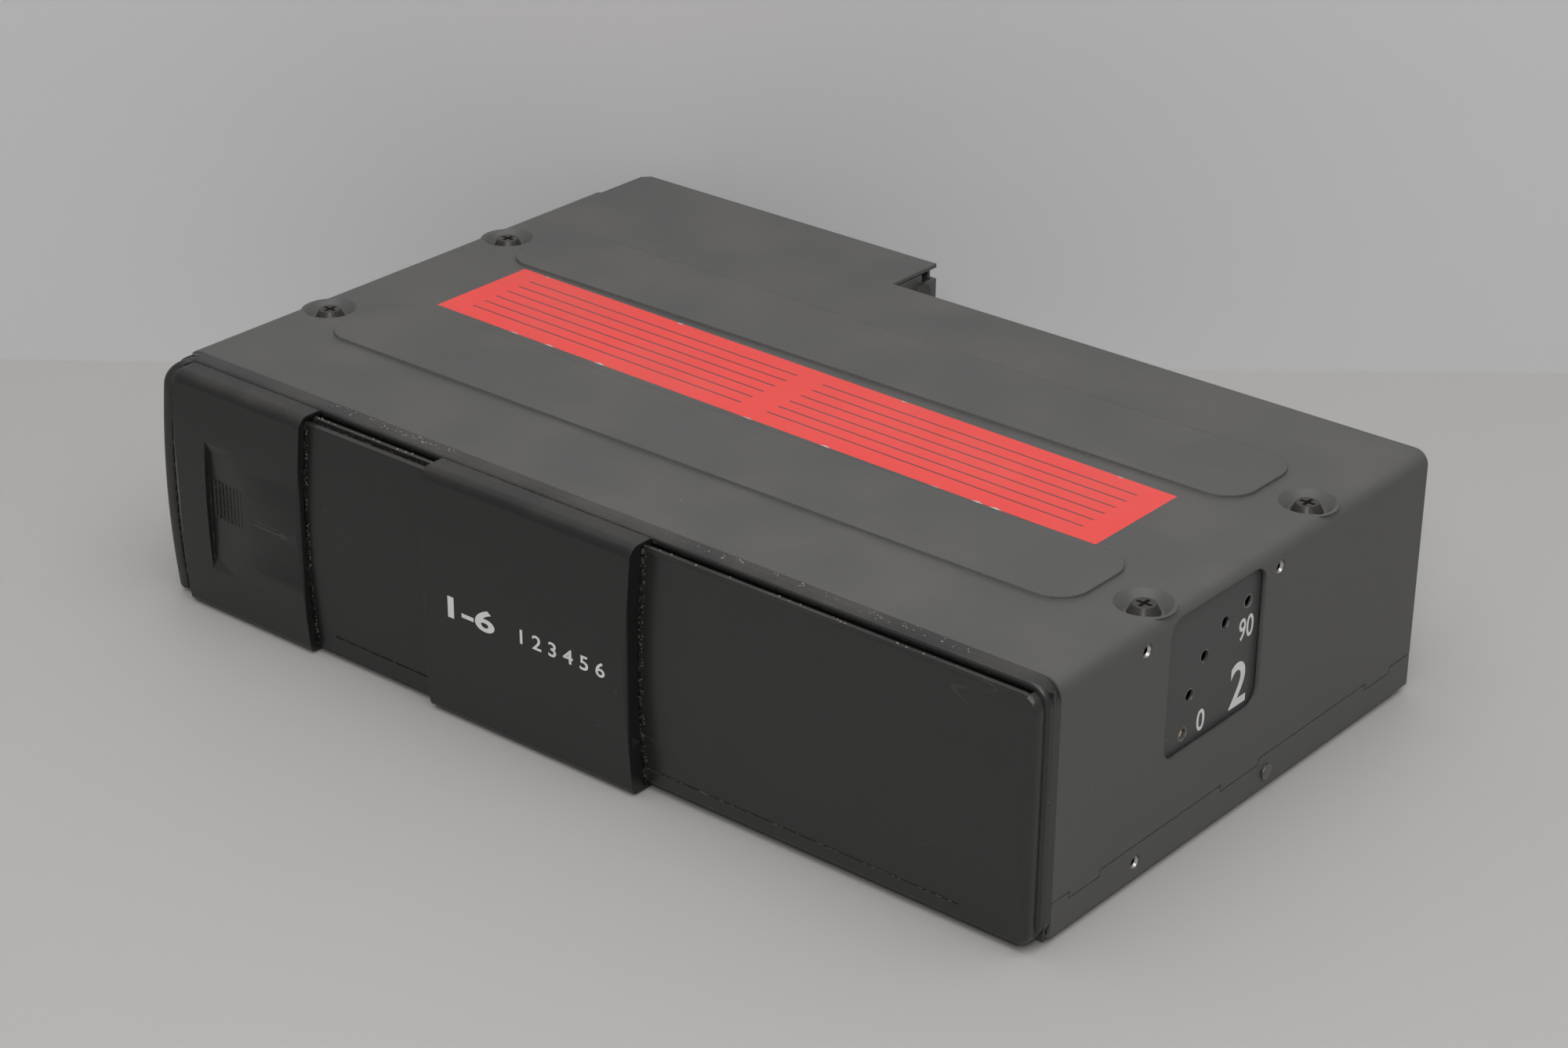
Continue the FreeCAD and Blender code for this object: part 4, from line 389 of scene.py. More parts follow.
@dataclass(frozen=True)
class Finish:
    """One surface finish of the changer."""

    name: str
    colour: Colour
    rough: float
    metal: float = 0.0
    drift: float = 0.05
    drift_scale: float = 35.0
    grain: float = 6e-6
    grain_scale: float = 2500.0
    stretch: float = 1.0
    edge: float = 0.0002
    wear: float = 0.0
    wear_colour: Colour = (0.45, 0.44, 0.42)
    wear_metal: float = 0.0
    film: float = 0.1
    corners: float = 0.35
    specks: float = 0.0
    # the dust colour; a dark one makes the corner lines painted shade in hollows
    dust_and_shade_colour: Colour = (0.33, 0.30, 0.26)
    scratches: float = 0.0
    cut: float = 0.0
    dust_rough: float = 0.35
    coat: float = 0.0
    clear: float = 0.0

    def build(self, shelf: EffectShelf) -> bpy.types.Material:
        """Makes the material.

        Args:
            shelf: where the shared effects are kept.

        Returns:
            The finished material.
        """
        material = bpy.data.materials.new(self.name)
        graph = Graph.emptied(material)
        shade = shelf.place(graph, Effect.TONE, Scale=self.drift_scale, Amount=self.drift)
        colour = graph.tinted(self.colour, shade)
        metal: object = self.metal
        bare = None
        if self.wear:
            bare = shelf.place(graph, Effect.WEAR, Amount=self.wear)
        if self.cut:
            strip = shelf.place(graph, Effect.CUT, Amount=self.cut)
            bare = graph.math("MAXIMUM", bare, strip) if bare else strip
        if bare:
            colour = graph.blend(bare, colour, (*self.wear_colour, 1.0))
            if self.wear_metal != self.metal:
                metal = graph.ramp(bare, (0.0, 1.0), (self.metal, self.wear_metal))
        if self.scratches:
            lines = shelf.place(graph, Effect.SCRATCH, Amount=self.scratches)
            colour = graph.blend(lines, colour, (*self.wear_colour, 1.0))
        # dust film, corner lines and specks; with a dark dust colour the corner lines are painted shade
        dust_and_shade_mask = shelf.place(graph, Effect.DUST, Film=self.film, Corners=self.corners, Specks=self.specks)
        colour = graph.blend(dust_and_shade_mask, colour, (*self.dust_and_shade_colour, 1.0))
        rough = graph.math("MULTIPLY_ADD", dust_and_shade_mask, self.dust_rough, graph.times(shade, self.rough))
        height = shelf.place(graph, Effect.GRAIN, Scale=self.grain_scale, Stretch=self.stretch)
        round_edge = graph.add("ShaderNodeBevel", {"Radius": self.edge}, samples=BEVEL_SAMPLES).outputs[0]
        bump = graph.add("ShaderNodeBump", {"Distance": self.grain, "Height": height, "Normal": round_edge})
        shader = graph.add("ShaderNodeBsdfPrincipled", {
            "Base Color": colour,
            "Metallic": metal,
            "Roughness": rough,
            "Normal": bump.outputs[0],
            "Coat Weight": self.coat,
            "Transmission Weight": self.clear,
        })
        output = graph.add("ShaderNodeOutputMaterial")
        graph.feed(output.inputs["Surface"], shader.outputs[0])
        return material


FINISHES: tuple[Finish, ...] = (
    Finish("cover_paint", (0.078, 0.078, 0.076), 0.5, drift=0.03, grain=5e-6, grain_scale=1800, edge=0.0006,
           wear=0.12, wear_colour=(0.2, 0.2, 0.195), wear_metal=0.3, film=0.08, specks=0.5, scratches=0.1, cut=0.3),
    Finish("zinc_steel", (0.5, 0.51, 0.52), 0.38, metal=1, drift=0.1, stretch=6, grain=8e-6, wear=0.2, film=0.15),
    Finish("zinc_screw", (0.55, 0.54, 0.5), 0.3, metal=1, drift=0.12, drift_scale=400, edge=0.0001),
    # the rear box screw: its dark dust colour makes the corner lines a little painted shade in the head's hollows
    Finish("black_screw", (0.06, 0.057, 0.053), 0.36, metal=0.5, drift=0.2, drift_scale=500, edge=0.00012, wear=0.35,
           wear_colour=(0.34, 0.31, 0.27), wear_metal=0.9, corners=0.8, dust_and_shade_colour=(0.05, 0.043, 0.036)),
    # the side screw: its near-black dust colour makes the corner lines painted shade in the head's hollows and round
    # its foot
    Finish("side_screw", (0.16, 0.155, 0.15), 0.34, metal=0.7, drift=0.35, drift_scale=900, edge=0.0002, wear=0.5,
           wear_colour=(0.6, 0.58, 0.55), wear_metal=0.9, corners=0.8, dust_and_shade_colour=(0.05, 0.045, 0.04)),
    Finish("socket_plastic", (0.022, 0.022, 0.024), 0.45),
    Finish("circuit_board", (0.03, 0.16, 0.07), 0.35, drift=0.08, coat=0.3),
    Finish("index_paint", (0.05, 0.05, 0.05), 0.42, edge=0.00015, wear=0.75, wear_colour=(0.5, 0.49, 0.47),
           wear_metal=0.8, scratches=0.3, specks=0.4),
    Finish("lever_plastic", (0.8, 0.7, 0.5), 0.45, drift=0.08, corners=0, film=0),
    Finish("front_plastic", (0.0185, 0.0185, 0.018), 0.3, drift=0.06, grain=4e-6, grain_scale=3200, edge=0.0003,
           wear=0.2, wear_colour=(0.09, 0.09, 0.088), film=0.12, corners=0.75, specks=0.5, scratches=0.25),
    Finish("door_plastic", (0.011, 0.011, 0.0107), 0.3, drift=0.05, grain=5e-6, grain_scale=3600, edge=0.0003,
           wear=0.15, wear_colour=(0.1, 0.1, 0.098), film=0.08, corners=0.35, specks=0.3, scratches=0.2),
    Finish("button_plastic", (0.03, 0.03, 0.032), 0.4),
    Finish("spring_steel", (0.46, 0.46, 0.45), 0.3, metal=1),
    Finish("damper_rubber", (0.022, 0.022, 0.022), 0.7, drift=0.12),
    Finish("inner_plastic", (0.045, 0.045, 0.047), 0.4),
    Finish("inner_white", (0.66, 0.64, 0.57), 0.45, drift=0.04, film=0.05),
    Finish("magazine_plastic", (0.055, 0.055, 0.06), 0.42, wear=0.2, wear_colour=(0.16, 0.16, 0.16), scratches=0.3),
    Finish("tray_plastic", (0.14, 0.14, 0.15), 0.42, scratches=0.2),
    Finish("disc_plastic", (0.72, 0.73, 0.75), 0.16, metal=0.9, drift=0.02, grain=1e-6, coat=0.6, film=0, corners=0),
    Finish("polished_steel", (0.62, 0.62, 0.61), 0.16, metal=1, film=0.03),
    Finish("motor_steel", (0.48, 0.48, 0.49), 0.3, metal=1, stretch=4),
    Finish("chip_plastic", (0.02, 0.02, 0.021), 0.5, grain_scale=6000),
    Finish("lens_glass", (0.7, 0.78, 0.92), 0.05, clear=0.85, film=0, corners=0, drift=0),
    Finish("label_film", (0.8, 0.062, 0.054), 0.5, drift=0.04, grain=3e-6, edge=5e-5, film=0.07, corners=0,
           specks=0.3, dust_and_shade_colour=(0.45, 0.26, 0.22)),
    Finish("label_paper", (0.7, 0.66, 0.62), 0.7, edge=2e-5, corners=0),
    Finish("label_ink", (0.23, 0.052, 0.05), 0.5, drift=0.15, drift_scale=220, edge=1e-5, film=0.1, corners=0),
    Finish("white_print", (0.74, 0.74, 0.73), 0.5, drift=0.05, drift_scale=250, edge=1e-5, film=0.05, corners=0),
    Finish("grey_print", (0.04, 0.04, 0.039), 0.5, drift=0.2, drift_scale=300, edge=1e-5, corners=0),
    Finish("crumbs", (0.24, 0.21, 0.17), 0.85, drift=0.35, drift_scale=600, edge=1e-5),
    Finish("bare_rim", (0.6, 0.58, 0.54), 0.3, metal=1, drift=0.15, drift_scale=900, edge=5e-5),
)


class Workshop:
    """Keeps the materials and makes the finished pieces, each riding on its body."""

    def __init__(self) -> None:
        """Builds every material once."""
        self.shelf = EffectShelf()
        self.materials = {finish.name: finish.build(self.shelf) for finish in FINISHES}

    def dress_solids(self) -> None:
        """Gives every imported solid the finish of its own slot, but two screws a darker one."""
        own_look = {"rear_box_screw": "black_screw", "chassis_side_screw": "side_screw"}
        for name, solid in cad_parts.items():
            for held in solid.material_slots:
                slot = own_look.get(name) or plain_name(held.material)
                held.material = self.materials[slot]
            LOG.info("dressed %s", name)

    def piece(self, name: str, points: list, faces: list, body: str, look: str, slot: str) -> bpy.types.Object:
        """Makes one new piece and lets it ride.

        Args:
            name: the piece's name.
            points: its corners in the row frame, in metres.
            faces: the corner numbers of each face.
            body: the body it moves with.
            look: the finish it wears.
            slot: the record's slot that its finish belongs to; not used.

        Returns:
            The new object.
        """
        mesh = bpy.data.meshes.new(name)
        mesh.from_pydata([tuple(point) for point in points], [], faces)
        mesh.validate()
        mesh.update()
        mesh.materials.append(self.materials[look])
        piece = stands(name, mesh)
        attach(piece, body)
        LOG.info("made %s with %d faces on %s", name, len(faces), body)
        return piece


@dataclass
class Part:
    """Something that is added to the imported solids."""

    shop: Workshop


class Probe:
    """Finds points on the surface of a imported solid."""

    def __init__(self, node: str) -> None:
        """Reads the mesh of the named solid once."""
        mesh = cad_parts[node].data
        self.tree = BVHTree.FromPolygons([v.co for v in mesh.vertices], [tuple(f.vertices) for f in mesh.polygons])

    def hit(self, start: Vector, direction: Vector) -> Vector | None:
        """Gives the first point that a straight line meets, or nothing."""
        return self.tree.ray_cast(start, direction)[0]


def slab(outline: list[Vector], rise: Vector) -> tuple[list[Vector], list[list[int]]]:
    """Makes a flat closed plate.

    Args:
        outline: its lower outline, in order.
        rise: the step from the lower face to the upper one.

    Returns:
        The corners and the faces.
    """
    count = len(outline)
    points = [point.copy() for point in outline] + [point + rise for point in outline]
    sides = [[i, (i + 1) % count, count + (i + 1) % count, count + i] for i in range(count)]
    return points, [list(range(count - 1, -1, -1)), list(range(count, 2 * count))] + sides


class Heap:
    """Gathers small plates into one mesh."""

    def __init__(self) -> None:
        """Starts empty."""
        self.points: list[Vector] = []
        self.faces: list[list[int]] = []

    def add(self, points: list[Vector], faces: list[list[int]]) -> None:
        """Adds one more shape, whose faces count its own corners."""
        self.faces.extend([len(self.points) + corner for corner in face] for face in faces)
        self.points.extend(points)


@dataclass
class CoverLabel(Part):
    """The blank red label between the raised pads of the cover, ruled with plain lines."""

    front_left: Pair = (26.0, 64.5)
    front_right: Pair = (226.0, 60.7)
    back_right: Pair = (226.0, 92.0)
    back_left: Pair = (26.0, 95.7)
    paper: float = 0.05
    film: float = 0.07
    ink: float = 0.015
    chip_depth: float = 0.55
    rows: tuple[float, ...] = (0.17, 0.30, 0.43, 0.56, 0.69, 0.82)
    line: float = 0.018
    columns: tuple[Pair, ...] = ((0.035, 0.475), (0.515, 0.965))
    paper_gap: float = 0.004
    film_gap: float = 0.002
    long_steps: int = 120
    short_steps: int = 16
    chip_chance: float = 0.07
    chip_range: Pair = (0.3, 1.0)
    paper_seed: int = 3
    film_seed: int = 8

    def spot(self, across: float, back: float) -> Pair:
        """Finds a place on the label.

        Args:
            across: the share of the width, from the left.
            back: the share of the depth, from the front.

        Returns:
            The case's x and y there.
        """
        front = [a + (b - a) * across for a, b in zip(self.front_left, self.front_right)]
        rear = [a + (b - a) * across for a, b in zip(self.back_left, self.back_right)]
        return tuple(a + (b - a) * back for a, b in zip(front, rear))

    def border(self, height: float, chips: float, seed: int) -> list[Vector]:
        """Walks round the label's edge.

        Args:
            height: millimetres above the case's underside.
            chips: how deep the edge is nibbled.
            seed: the start of the random run.

        Returns:
            The outline's points.
        """
        draw = random.Random(seed)
        wide = [i / self.long_steps for i in range(self.long_steps)]
        deep = [i / self.short_steps for i in range(self.short_steps)]
        walk = [(share, 0.0) for share in wide] + [(1.0, share) for share in deep]
        walk += [(1 - share, 1.0) for share in wide] + [(0.0, 1 - share) for share in deep]
        outline = []
        middle = Vector(self.spot(0.5, 0.5))
        for across, back in walk:
            x, y = self.spot(across, back)
            bite = draw.uniform(*self.chip_range) * chips if draw.random() < self.chip_chance else 0.0
            inward = Vector((0.0, math.copysign(1.0, middle.y - y)))
            outline.append(at(x, y + inward.y * bite, height))
        return outline

    def build(self) -> None:
        """Makes the paper, the film and the ruled lines."""
        under_paper, under_film = CASE_TOP + self.paper_gap, CASE_TOP + self.paper + self.film_gap
        paper = slab(self.border(under_paper, 0.0, self.paper_seed), Vector((0, 0, self.paper / MM_PER_M)))
        self.shop.piece("label_paper", *paper, "case", "label_paper", "cover_paint")
        film = slab(self.border(under_film, self.chip_depth, self.film_seed), Vector((0, 0, self.film / MM_PER_M)))
        self.shop.piece("label_film", *film, "case", "label_film", "cover_paint")
        heap = Heap()
        top = CASE_TOP + self.paper + self.film
        for left, right in self.columns:
            for back in self.rows:
                further = back + self.line
                corners = [(left, back), (right, back), (right, further), (left, further)]
                outline = [at(*self.spot(*corner), top) for corner in corners]
                heap.add(*slab(outline, Vector((0, 0, self.ink / MM_PER_M))))
        self.shop.piece("label_lines", heap.points, heap.faces, "case", "label_ink", "cover_paint")


@dataclass
class Glyphs(Part):
    """White numerals on one solid, each run with its name, text, middle, height, width and boldness."""

    node: str
    body: str
    right: Point
    up: Point
    away: Point
    runs: tuple[tuple[str, str, Point, float, float, float], ...]
    lift: float = 0.02
    thick: float = 0.02
    probe_from: float = 0.02

    def shape(self, words: str, bold: float) -> bpy.types.Mesh:
        """Turns numerals into a flat mesh with a little thickness.

        Args:
            words: the numerals.
            bold: how much the strokes are thickened.

        Returns:
            The mesh.
        """
        curve = bpy.data.curves.new("glyphs", "FONT")
        curve.body = words
        curve.size = 1.0
        curve.extrude = 0.5
        curve.offset = bold
        curve.resolution_u = 6
        holder = stands("glyphs", curve)
        graph = bpy.context.evaluated_depsgraph_get()
        mesh = bpy.data.meshes.new_from_object(holder.evaluated_get(graph))
        bpy.data.objects.remove(holder)
        return mesh

    def lay(self, name: str, words: str, centre: Point, tall: float, wide: float, bold: float) -> None:
        """Lays a run of numerals on the solid.

        Args:
            name: the piece's name.
            words: the numerals.
            centre: the middle of the run, near the surface, in the case's millimetres.
            tall: its height in millimetres.
            wide: its width in millimetres.
            bold: how much the strokes are thickened.
        """
        mesh = self.shape(words, bold)
        corners = [vertex.co for vertex in mesh.vertices]
        low = Vector(min(corner[i] for corner in corners) for i in range(3))
        high = Vector(max(corner[i] for corner in corners) for i in range(3))
        right, up, away = Vector(self.right), Vector(self.up), Vector(self.away)
        probe = Probe(self.node)
        points = []
        for corner in corners:
            across = ((corner.x - low.x) / (high.x - low.x) - 0.5) * wide / MM_PER_M
            rise = ((corner.y - low.y) / (high.y - low.y) - 0.5) * tall / MM_PER_M
            flat = at(*centre) + right * across + up * rise
            found = probe.hit(flat + away * self.probe_from, -away) or flat
            depth = self.lift + self.thick * (1.0 if corner.z > 0 else 0.0)
            points.append(found + away * depth / MM_PER_M)
        faces = [list(face.vertices) for face in mesh.polygons]
        slot = plain_name(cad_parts[self.node].data.materials[0])
        self.shop.piece(name, points, faces, self.body, "white_print", slot)

    def build(self) -> None:
        """Lays each run."""
        for run in self.runs:
            self.lay(*run)


@dataclass
class SlideArrow(Part):
    """The dim arrow on the finger leaf."""

    start: Point = (34.0, -6.0, 28.9)
    length: float = 12.4
    shaft_half: float = 0.25
    head_half: float = 1.1
    head_length: float = 3.0
    lift: float = 0.02
    thick: float = 0.03
    probe_from: float = 20

    def build(self) -> None:
        """Lays the arrow on the leaf."""
        leaf = Probe("door_leaf_grip")
        x, y, z = self.start
        tip = x + self.length
        neck = tip - self.head_length
        outline = [(x, -self.shaft_half), (neck, -self.shaft_half), (neck, -self.head_half), (tip, 0.0),
                   (neck, self.head_half), (neck, self.shaft_half), (x, self.shaft_half)]
        ring = []
        for u, rise in outline:
            found = leaf.hit(at(u, y - self.probe_from, z + rise), Vector((0, 1, 0))) or at(u, y, z + rise)
            ring.append(found - Vector((0, self.lift / MM_PER_M, 0)))
        arrow = slab(ring, Vector((0, -self.thick / MM_PER_M, 0)))
        self.shop.piece("slide_arrow", *arrow, "door_grip", "grey_print", "door_plastic")


@dataclass
class Crumbs(Part):
    """Grit that has gathered on the rails and beside the sliding leaves."""

    name: str
    low: Point
    high: Point
    look_along: Point
    count: int
    seed: int
    size: Pair = (0.10, 0.32)
    node: str = "front_bezel"
    body: str = "case"
    sides: int = 5
    reach: Pair = (0.6, 1.2)
    peak: Pair = (0.5, 0.9)
    sunk: float = 0.1
    probe_from: float = 0.01

    def build(self) -> None:
        """Scatters flattened grains over one patch of the solid."""
        draw = random.Random(self.seed)
        probe = Probe(self.node)
        direction = Vector(self.look_along)
        heap = Heap()
        for _ in range(self.count):
            spot = Vector(at(*(draw.uniform(a, b) for a, b in zip(self.low, self.high))))
            found = probe.hit(spot - direction * self.probe_from, direction)
            if found is None:
                continue
            wide = draw.uniform(*self.size) / MM_PER_M
            side = direction.orthogonal().normalized()
            other = direction.cross(side)
            turn = draw.uniform(0, math.tau)
            corners = []
            for k in range(self.sides):
                angle = turn + k * math.tau / self.sides
                reach = wide * draw.uniform(*self.reach)
                corners.append(found + (side * math.cos(angle) + other * math.sin(angle)) * reach)
            peak = found - direction * wide * draw.uniform(*self.peak)
            floor = found + direction * wide * self.sunk
            ring = [(k, (k + 1) % self.sides) for k in range(self.sides)]
            fans = [[k, after, self.sides] for k, after in ring] + [[after, k, self.sides + 1] for k, after in ring]
            heap.add(corners + [peak, floor], fans)
        self.shop.piece(self.name, heap.points, heap.faces, self.body, "crumbs", "front_plastic")


def rounded_corner(across: float, rise: float) -> Pair:
    """Moves a point of a square corner so that the corner's outline becomes an arc.

    Args:
        across: distance outward from the arc's centre, along x.
        rise: distance outward from the arc's centre, along z.

    Returns:
        The moved distances.
    """
    reach = math.hypot(across, rise)
    if min(across, rise) <= 0 or reach == 0:
        return across, rise
    share = max(across, rise) / reach
    return across * share, rise * share


@dataclass
class Moulding(Part):
    """Redraws one packed moulding with rounder corners."""

    node: str
    body: str
    name: str
    slot: str
    cuts: Cuts = ()
    same_point: float = 1e-6

    def moved(self, spot: Point) -> Point:
        """Gives the new place of a point of the moulding, all in the case's millimetres."""
        return spot

    def build(self) -> bpy.types.Object:
        """Copies the solid's mesh, divides it where it bends, moves its points and stands in for it.

        Returns:
            The new piece.
        """
        mesh = bmesh.new()
        mesh.from_mesh(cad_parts[self.node].data)
        bmesh.ops.remove_doubles(mesh, verts=mesh.verts, dist=self.same_point)
        for axis, places in self.cuts:
            normal = [0.0, 0.0, 0.0]
            normal[axis] = 1.0
            for place in places:
                everything = mesh.verts[:] + mesh.edges[:] + mesh.faces[:]
                bmesh.ops.bisect_plane(mesh, geom=everything, plane_co=at(place, place, place), plane_no=normal)
        bmesh.ops.triangulate(mesh, faces=mesh.faces[:])
        corner = Vector(CASE_CORNER)
        points = [at(*self.moved(tuple(vertex.co * MM_PER_M + corner))) for vertex in mesh.verts]
        faces = [[vertex.index for vertex in face.verts] for face in mesh.faces]
        mesh.free()
        look = plain_name(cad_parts[self.node].material_slots[0].material)
        piece = self.shop.piece(self.name, points, faces, self.body, look, self.slot)
        piece.data.shade_smooth()
        piece.data.set_sharp_from_angle(angle=SHARP_ANGLE)
        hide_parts(self.node)
        return piece


@dataclass
class FrontMoulding(Moulding):
    """The front moulding: a right end rounded on all its edges, and a left cheek that the rim covers."""

    cheek: float = 3.2
    cheek_front: float = 3.0
    step_back: float = 4.4
    corner: float = 4.0
    foot_corner: float = 2.6
    case_right: float = 256.0
    right: float = 255.2
    top: float = 58.7
    bottom: float = 0.8
    shrink_from: float = 250.0
    bar_front: float = 0.3
    bar_low: float = 0.0
    bar_high: float = 60.0
    near: float = 0.02
    behind: float = 0.005
    cuts: Cuts = (
        (ALONG_X, (255.9, 255.6, 255, 254.2, 253.4, 252.6, 251.8, 250.9, 250)),
        (ALONG_Y, (4.4, 4.41)),
        (ALONG_Z, (58.5, 58.1, 57.5, 56.8, 56.1, 55.4, 54.7, 3.4, 2.6, 1.8, 1.1)))

    def moved(self, spot: Point) -> Point:
        """Draws the cheek back, narrows the right end and rounds its upper and lower corner.

        Args:
            spot: where the point is.

        Returns:
            Where it goes.
        """
        x, y, z = spot
        if y > self.step_back + self.behind:
            return x, y, z
        on_bar = (abs(x - self.cheek) < self.near and y > self.bar_front - self.near
                  and self.bar_low < z < self.bar_high)
        if x < self.cheek + self.near and y < self.cheek_front and not on_bar:
            return x, self.cheek_front, z
        if x > self.shrink_from:
            share = (self.right - self.shrink_from) / (self.case_right - self.shrink_from)
            x = self.shrink_from + (x - self.shrink_from) * share
        for corner, level, outward in ((self.corner, self.top, 1), (self.foot_corner, self.bottom, -1)):
            centre_x, centre_z = self.right - corner, level - outward * corner
            if (z - centre_z) * outward > 0:
                across, rise = rounded_corner(x - centre_x, (z - centre_z) * outward)
                return centre_x + across, y, centre_z + rise * outward
        return x, y, z


@dataclass
class GripLeaf(Moulding):
    """The finger leaf: its left end slopes back to the rim, with a rounder upper corner."""

    left: float = 3.6
    new_left: float = 4.3
    steady: float = 13.6
    slope_from: float = -1.7
    slope: float = 0.55
    bow: tuple[float, float, float] = (-0.6, -0.58, 1.68)
    bow_middle: float = 29.0
    bow_half: float = 28.0
    corner: float = 3.4
    top: float = 59.9
    inner_wall: float = 5.2
    inner_front: float = -4.3
    inner_share: float = 0.4
    bow_depth: float = 2.0
    near: float = 0.01
    cuts: Cuts = (
        (ALONG_X, (4.1, 4.8, 5.6, 6.4, 7.2, 8, 9, 10, 13.6)),
        (ALONG_Z, (59.5, 58.9, 58.2, 57.4, 56.5, 55.6, 55, 50, 43, 36, 29, 22, 15, 8, 4)))

    def moved(self, spot: Point) -> Point:
        """Slopes and bows the left end, and rounds its upper corner.

        Args:
            spot: where the point is.

        Returns:
            Where it goes.
        """
        x, y, z = spot
        if x < self.steady:
            level = (z - self.bow_middle) / self.bow_half
            start, lean, bend = self.bow
            forward = max(self.slope_from - y, 0.0)
            bow = start + lean * level + bend * level * level
            slope = forward * self.slope + min(forward / self.bow_depth, 1.0) * bow
            shift = (self.new_left - self.left + slope) * (self.steady - x) / (self.steady - self.left)
            on_inner_wall = abs(x - self.inner_wall) < self.near and y > self.inner_front
            x += shift * self.inner_share if on_inner_wall else shift
        if z > self.top - self.corner:
            centre_x, centre_z = self.new_left + self.corner, self.top - self.corner
            across, rise = rounded_corner(centre_x - x, z - centre_z)
            x, z = centre_x - across, centre_z + rise
        return x, y, z


@dataclass
class SideScrew(Moulding):
    """The screw in the tab of the cover, with a small low head."""

    centre: Pair = (87.5, 4.3)
    shank: float = 1.65
    head_share: float = 0.56
    wall: float = 256.0
    height_share: float = 0.6

    def moved(self, spot: Point) -> Point:
        """Draws the head's outline in and its face down.

        Args:
            spot: where the point is.

        Returns:
            Where it goes.
        """
        x, y, z = spot
        centre_y, centre_z = self.centre
        if math.hypot(y - centre_y, z - centre_z) > self.shank:
            y = centre_y + (y - centre_y) * self.head_share
            z = centre_z + (z - centre_z) * self.head_share
        if x > self.wall:
            x = self.wall + (x - self.wall) * self.height_share
        return x, y, z


@dataclass
class KeySpring(Moulding):
    """The spring behind the eject key, which shortens as the key goes in."""

    joint: str = "eject_press"
    fixed_end: Point = (131.0, 14.24, 9.4)
    pressed_share: float = 0.485

    def build(self) -> bpy.types.Object:
        """Makes the spring and gives it a mesh of its own.

        Returns:
            The new piece.
        """
        piece = super().build()
        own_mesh(piece)
        return piece


@dataclass
class Rim(Part):
    """The rim of the moulding: proud at the left of the leaves, a flush band elsewhere."""

    width: float = 256.0
    height: float = 60.2
    foot: float = -0.9
    band_front: float = 2.7
    band_wall: float = 1.9
    proud_front: float = -4.0
    proud_wall: float = 3.8
    bow: float = 1.6
    bow_middle: float = 28.85
    bow_half: float = 26.35
    back: float = 4.5
    corners: tuple[float, float, float, float] = (6.0, 5.0, 5.0, 1.3)
    arc_steps: int = 10
    side_steps: int = 14
    foot_step: float = 1.5
    round_outside: float = 1.5
    round_inside: float = 0.5
    flush_round: float = 0.6
    outside_steps: int = 5
    inside_steps: int = 3

    def proud(self, z: float) -> float:
        """Gives the y of the bowed front edge at a height."""
        share = (z - self.bow_middle) / self.bow_half
        return self.proud_front + self.bow * share * share

    def path(self) -> list[tuple[float, float, float, float, float]]:
        """Walks round the moulding's outline, from the foot of the left side.

        Returns:
            Points with their outward direction and how far each belongs to the proud left side:
            x, z, outward x, outward z, share.
        """
        upper_left, upper_right, lower_right, lower_left = self.corners
        steps = []
        for k in range(self.side_steps):
            z = self.foot + lower_left
            z += (self.height - upper_left - lower_left - self.foot) * k / self.side_steps
            steps.append((0.0, z, -1.0, 0.0, 1.0))
        arcs = (
            (upper_left, self.height - upper_left, upper_left, math.pi, 1.0, 0.0),
            (self.width - upper_right, self.height - upper_right, upper_right, math.pi / 2, 0.0, 0.0),
            (self.width - lower_right, lower_right, lower_right, 0.0, 0.0, 0.0),
            (lower_left, self.foot + lower_left, lower_left, -math.pi / 2, 1.0, 1.0))
        for centre_x, centre_z, radius, start, first, last in arcs:
            for k in range(self.arc_steps + 1):
                share = k / self.arc_steps
                angle = start - math.pi / 2 * share
                out_x, out_z = math.cos(angle), math.sin(angle)
                smooth = share * share
                steps.append((centre_x + radius * out_x, centre_z + radius * out_z, out_x, out_z,
                              first + (last - first) * smooth))
            if last == 0.0 and start == 0.0:
                steps.append((self.proud_wall + self.foot_step, 0.0, 0.0, -1.0, 0.0))
        return steps[:-1]

    def section(self, front: float, wall: float, share: float) -> list[Pair]:
        """Gives the rim's section as y and inset, from its outer back edge to its inner one.

        Args:
            front: the y of the front edge.
            wall: how thick the rim is.
            share: how far the place belongs to the proud left side.

        Returns:
            The section's points.
        """
        outer = self.round_outside * (self.flush_round + (1 - self.flush_round) * share)
        points = [(self.back, 0.0)]
        for k in range(self.outside_steps + 1):
            angle = math.pi / 2 * k / self.outside_steps
            points.append((front + outer * (1 - math.sin(angle)), outer * (1 - math.cos(angle))))
        for k in range(self.inside_steps + 1):
            angle = math.pi / 2 * (1 - k / self.inside_steps)
            inset = wall - self.round_inside * (1 - math.cos(angle))
            points.append((front + self.round_inside * (1 - math.sin(angle)), inset))
        return points + [(self.back, wall)]

    def build(self) -> None:
        """Sweeps the section round the outline."""
        points, path, count = [], self.path(), 0
        for x, z, out_x, out_z, share in path:
            front = self.band_front + (self.proud(z) - self.band_front) * share
            wall = self.band_wall + (self.proud_wall - self.band_wall) * share
            section = self.section(front, wall, share)
            count = len(section)
            points.extend(at(x - out_x * inset, y, z - out_z * inset) for y, inset in section)
        faces = []
        for row in range(len(path)):
            here, there = row * count, (row + 1) % len(path) * count
            for k in range(count):
                further = (k + 1) % count
                faces.append([here + k, here + further, there + further, there + k])
        piece = self.shop.piece("moulding_rim", points, faces, "case", "front_plastic", "front_plastic")
        piece.data.shade_smooth()
        piece.data.set_sharp_from_angle(angle=SHARP_ANGLE)


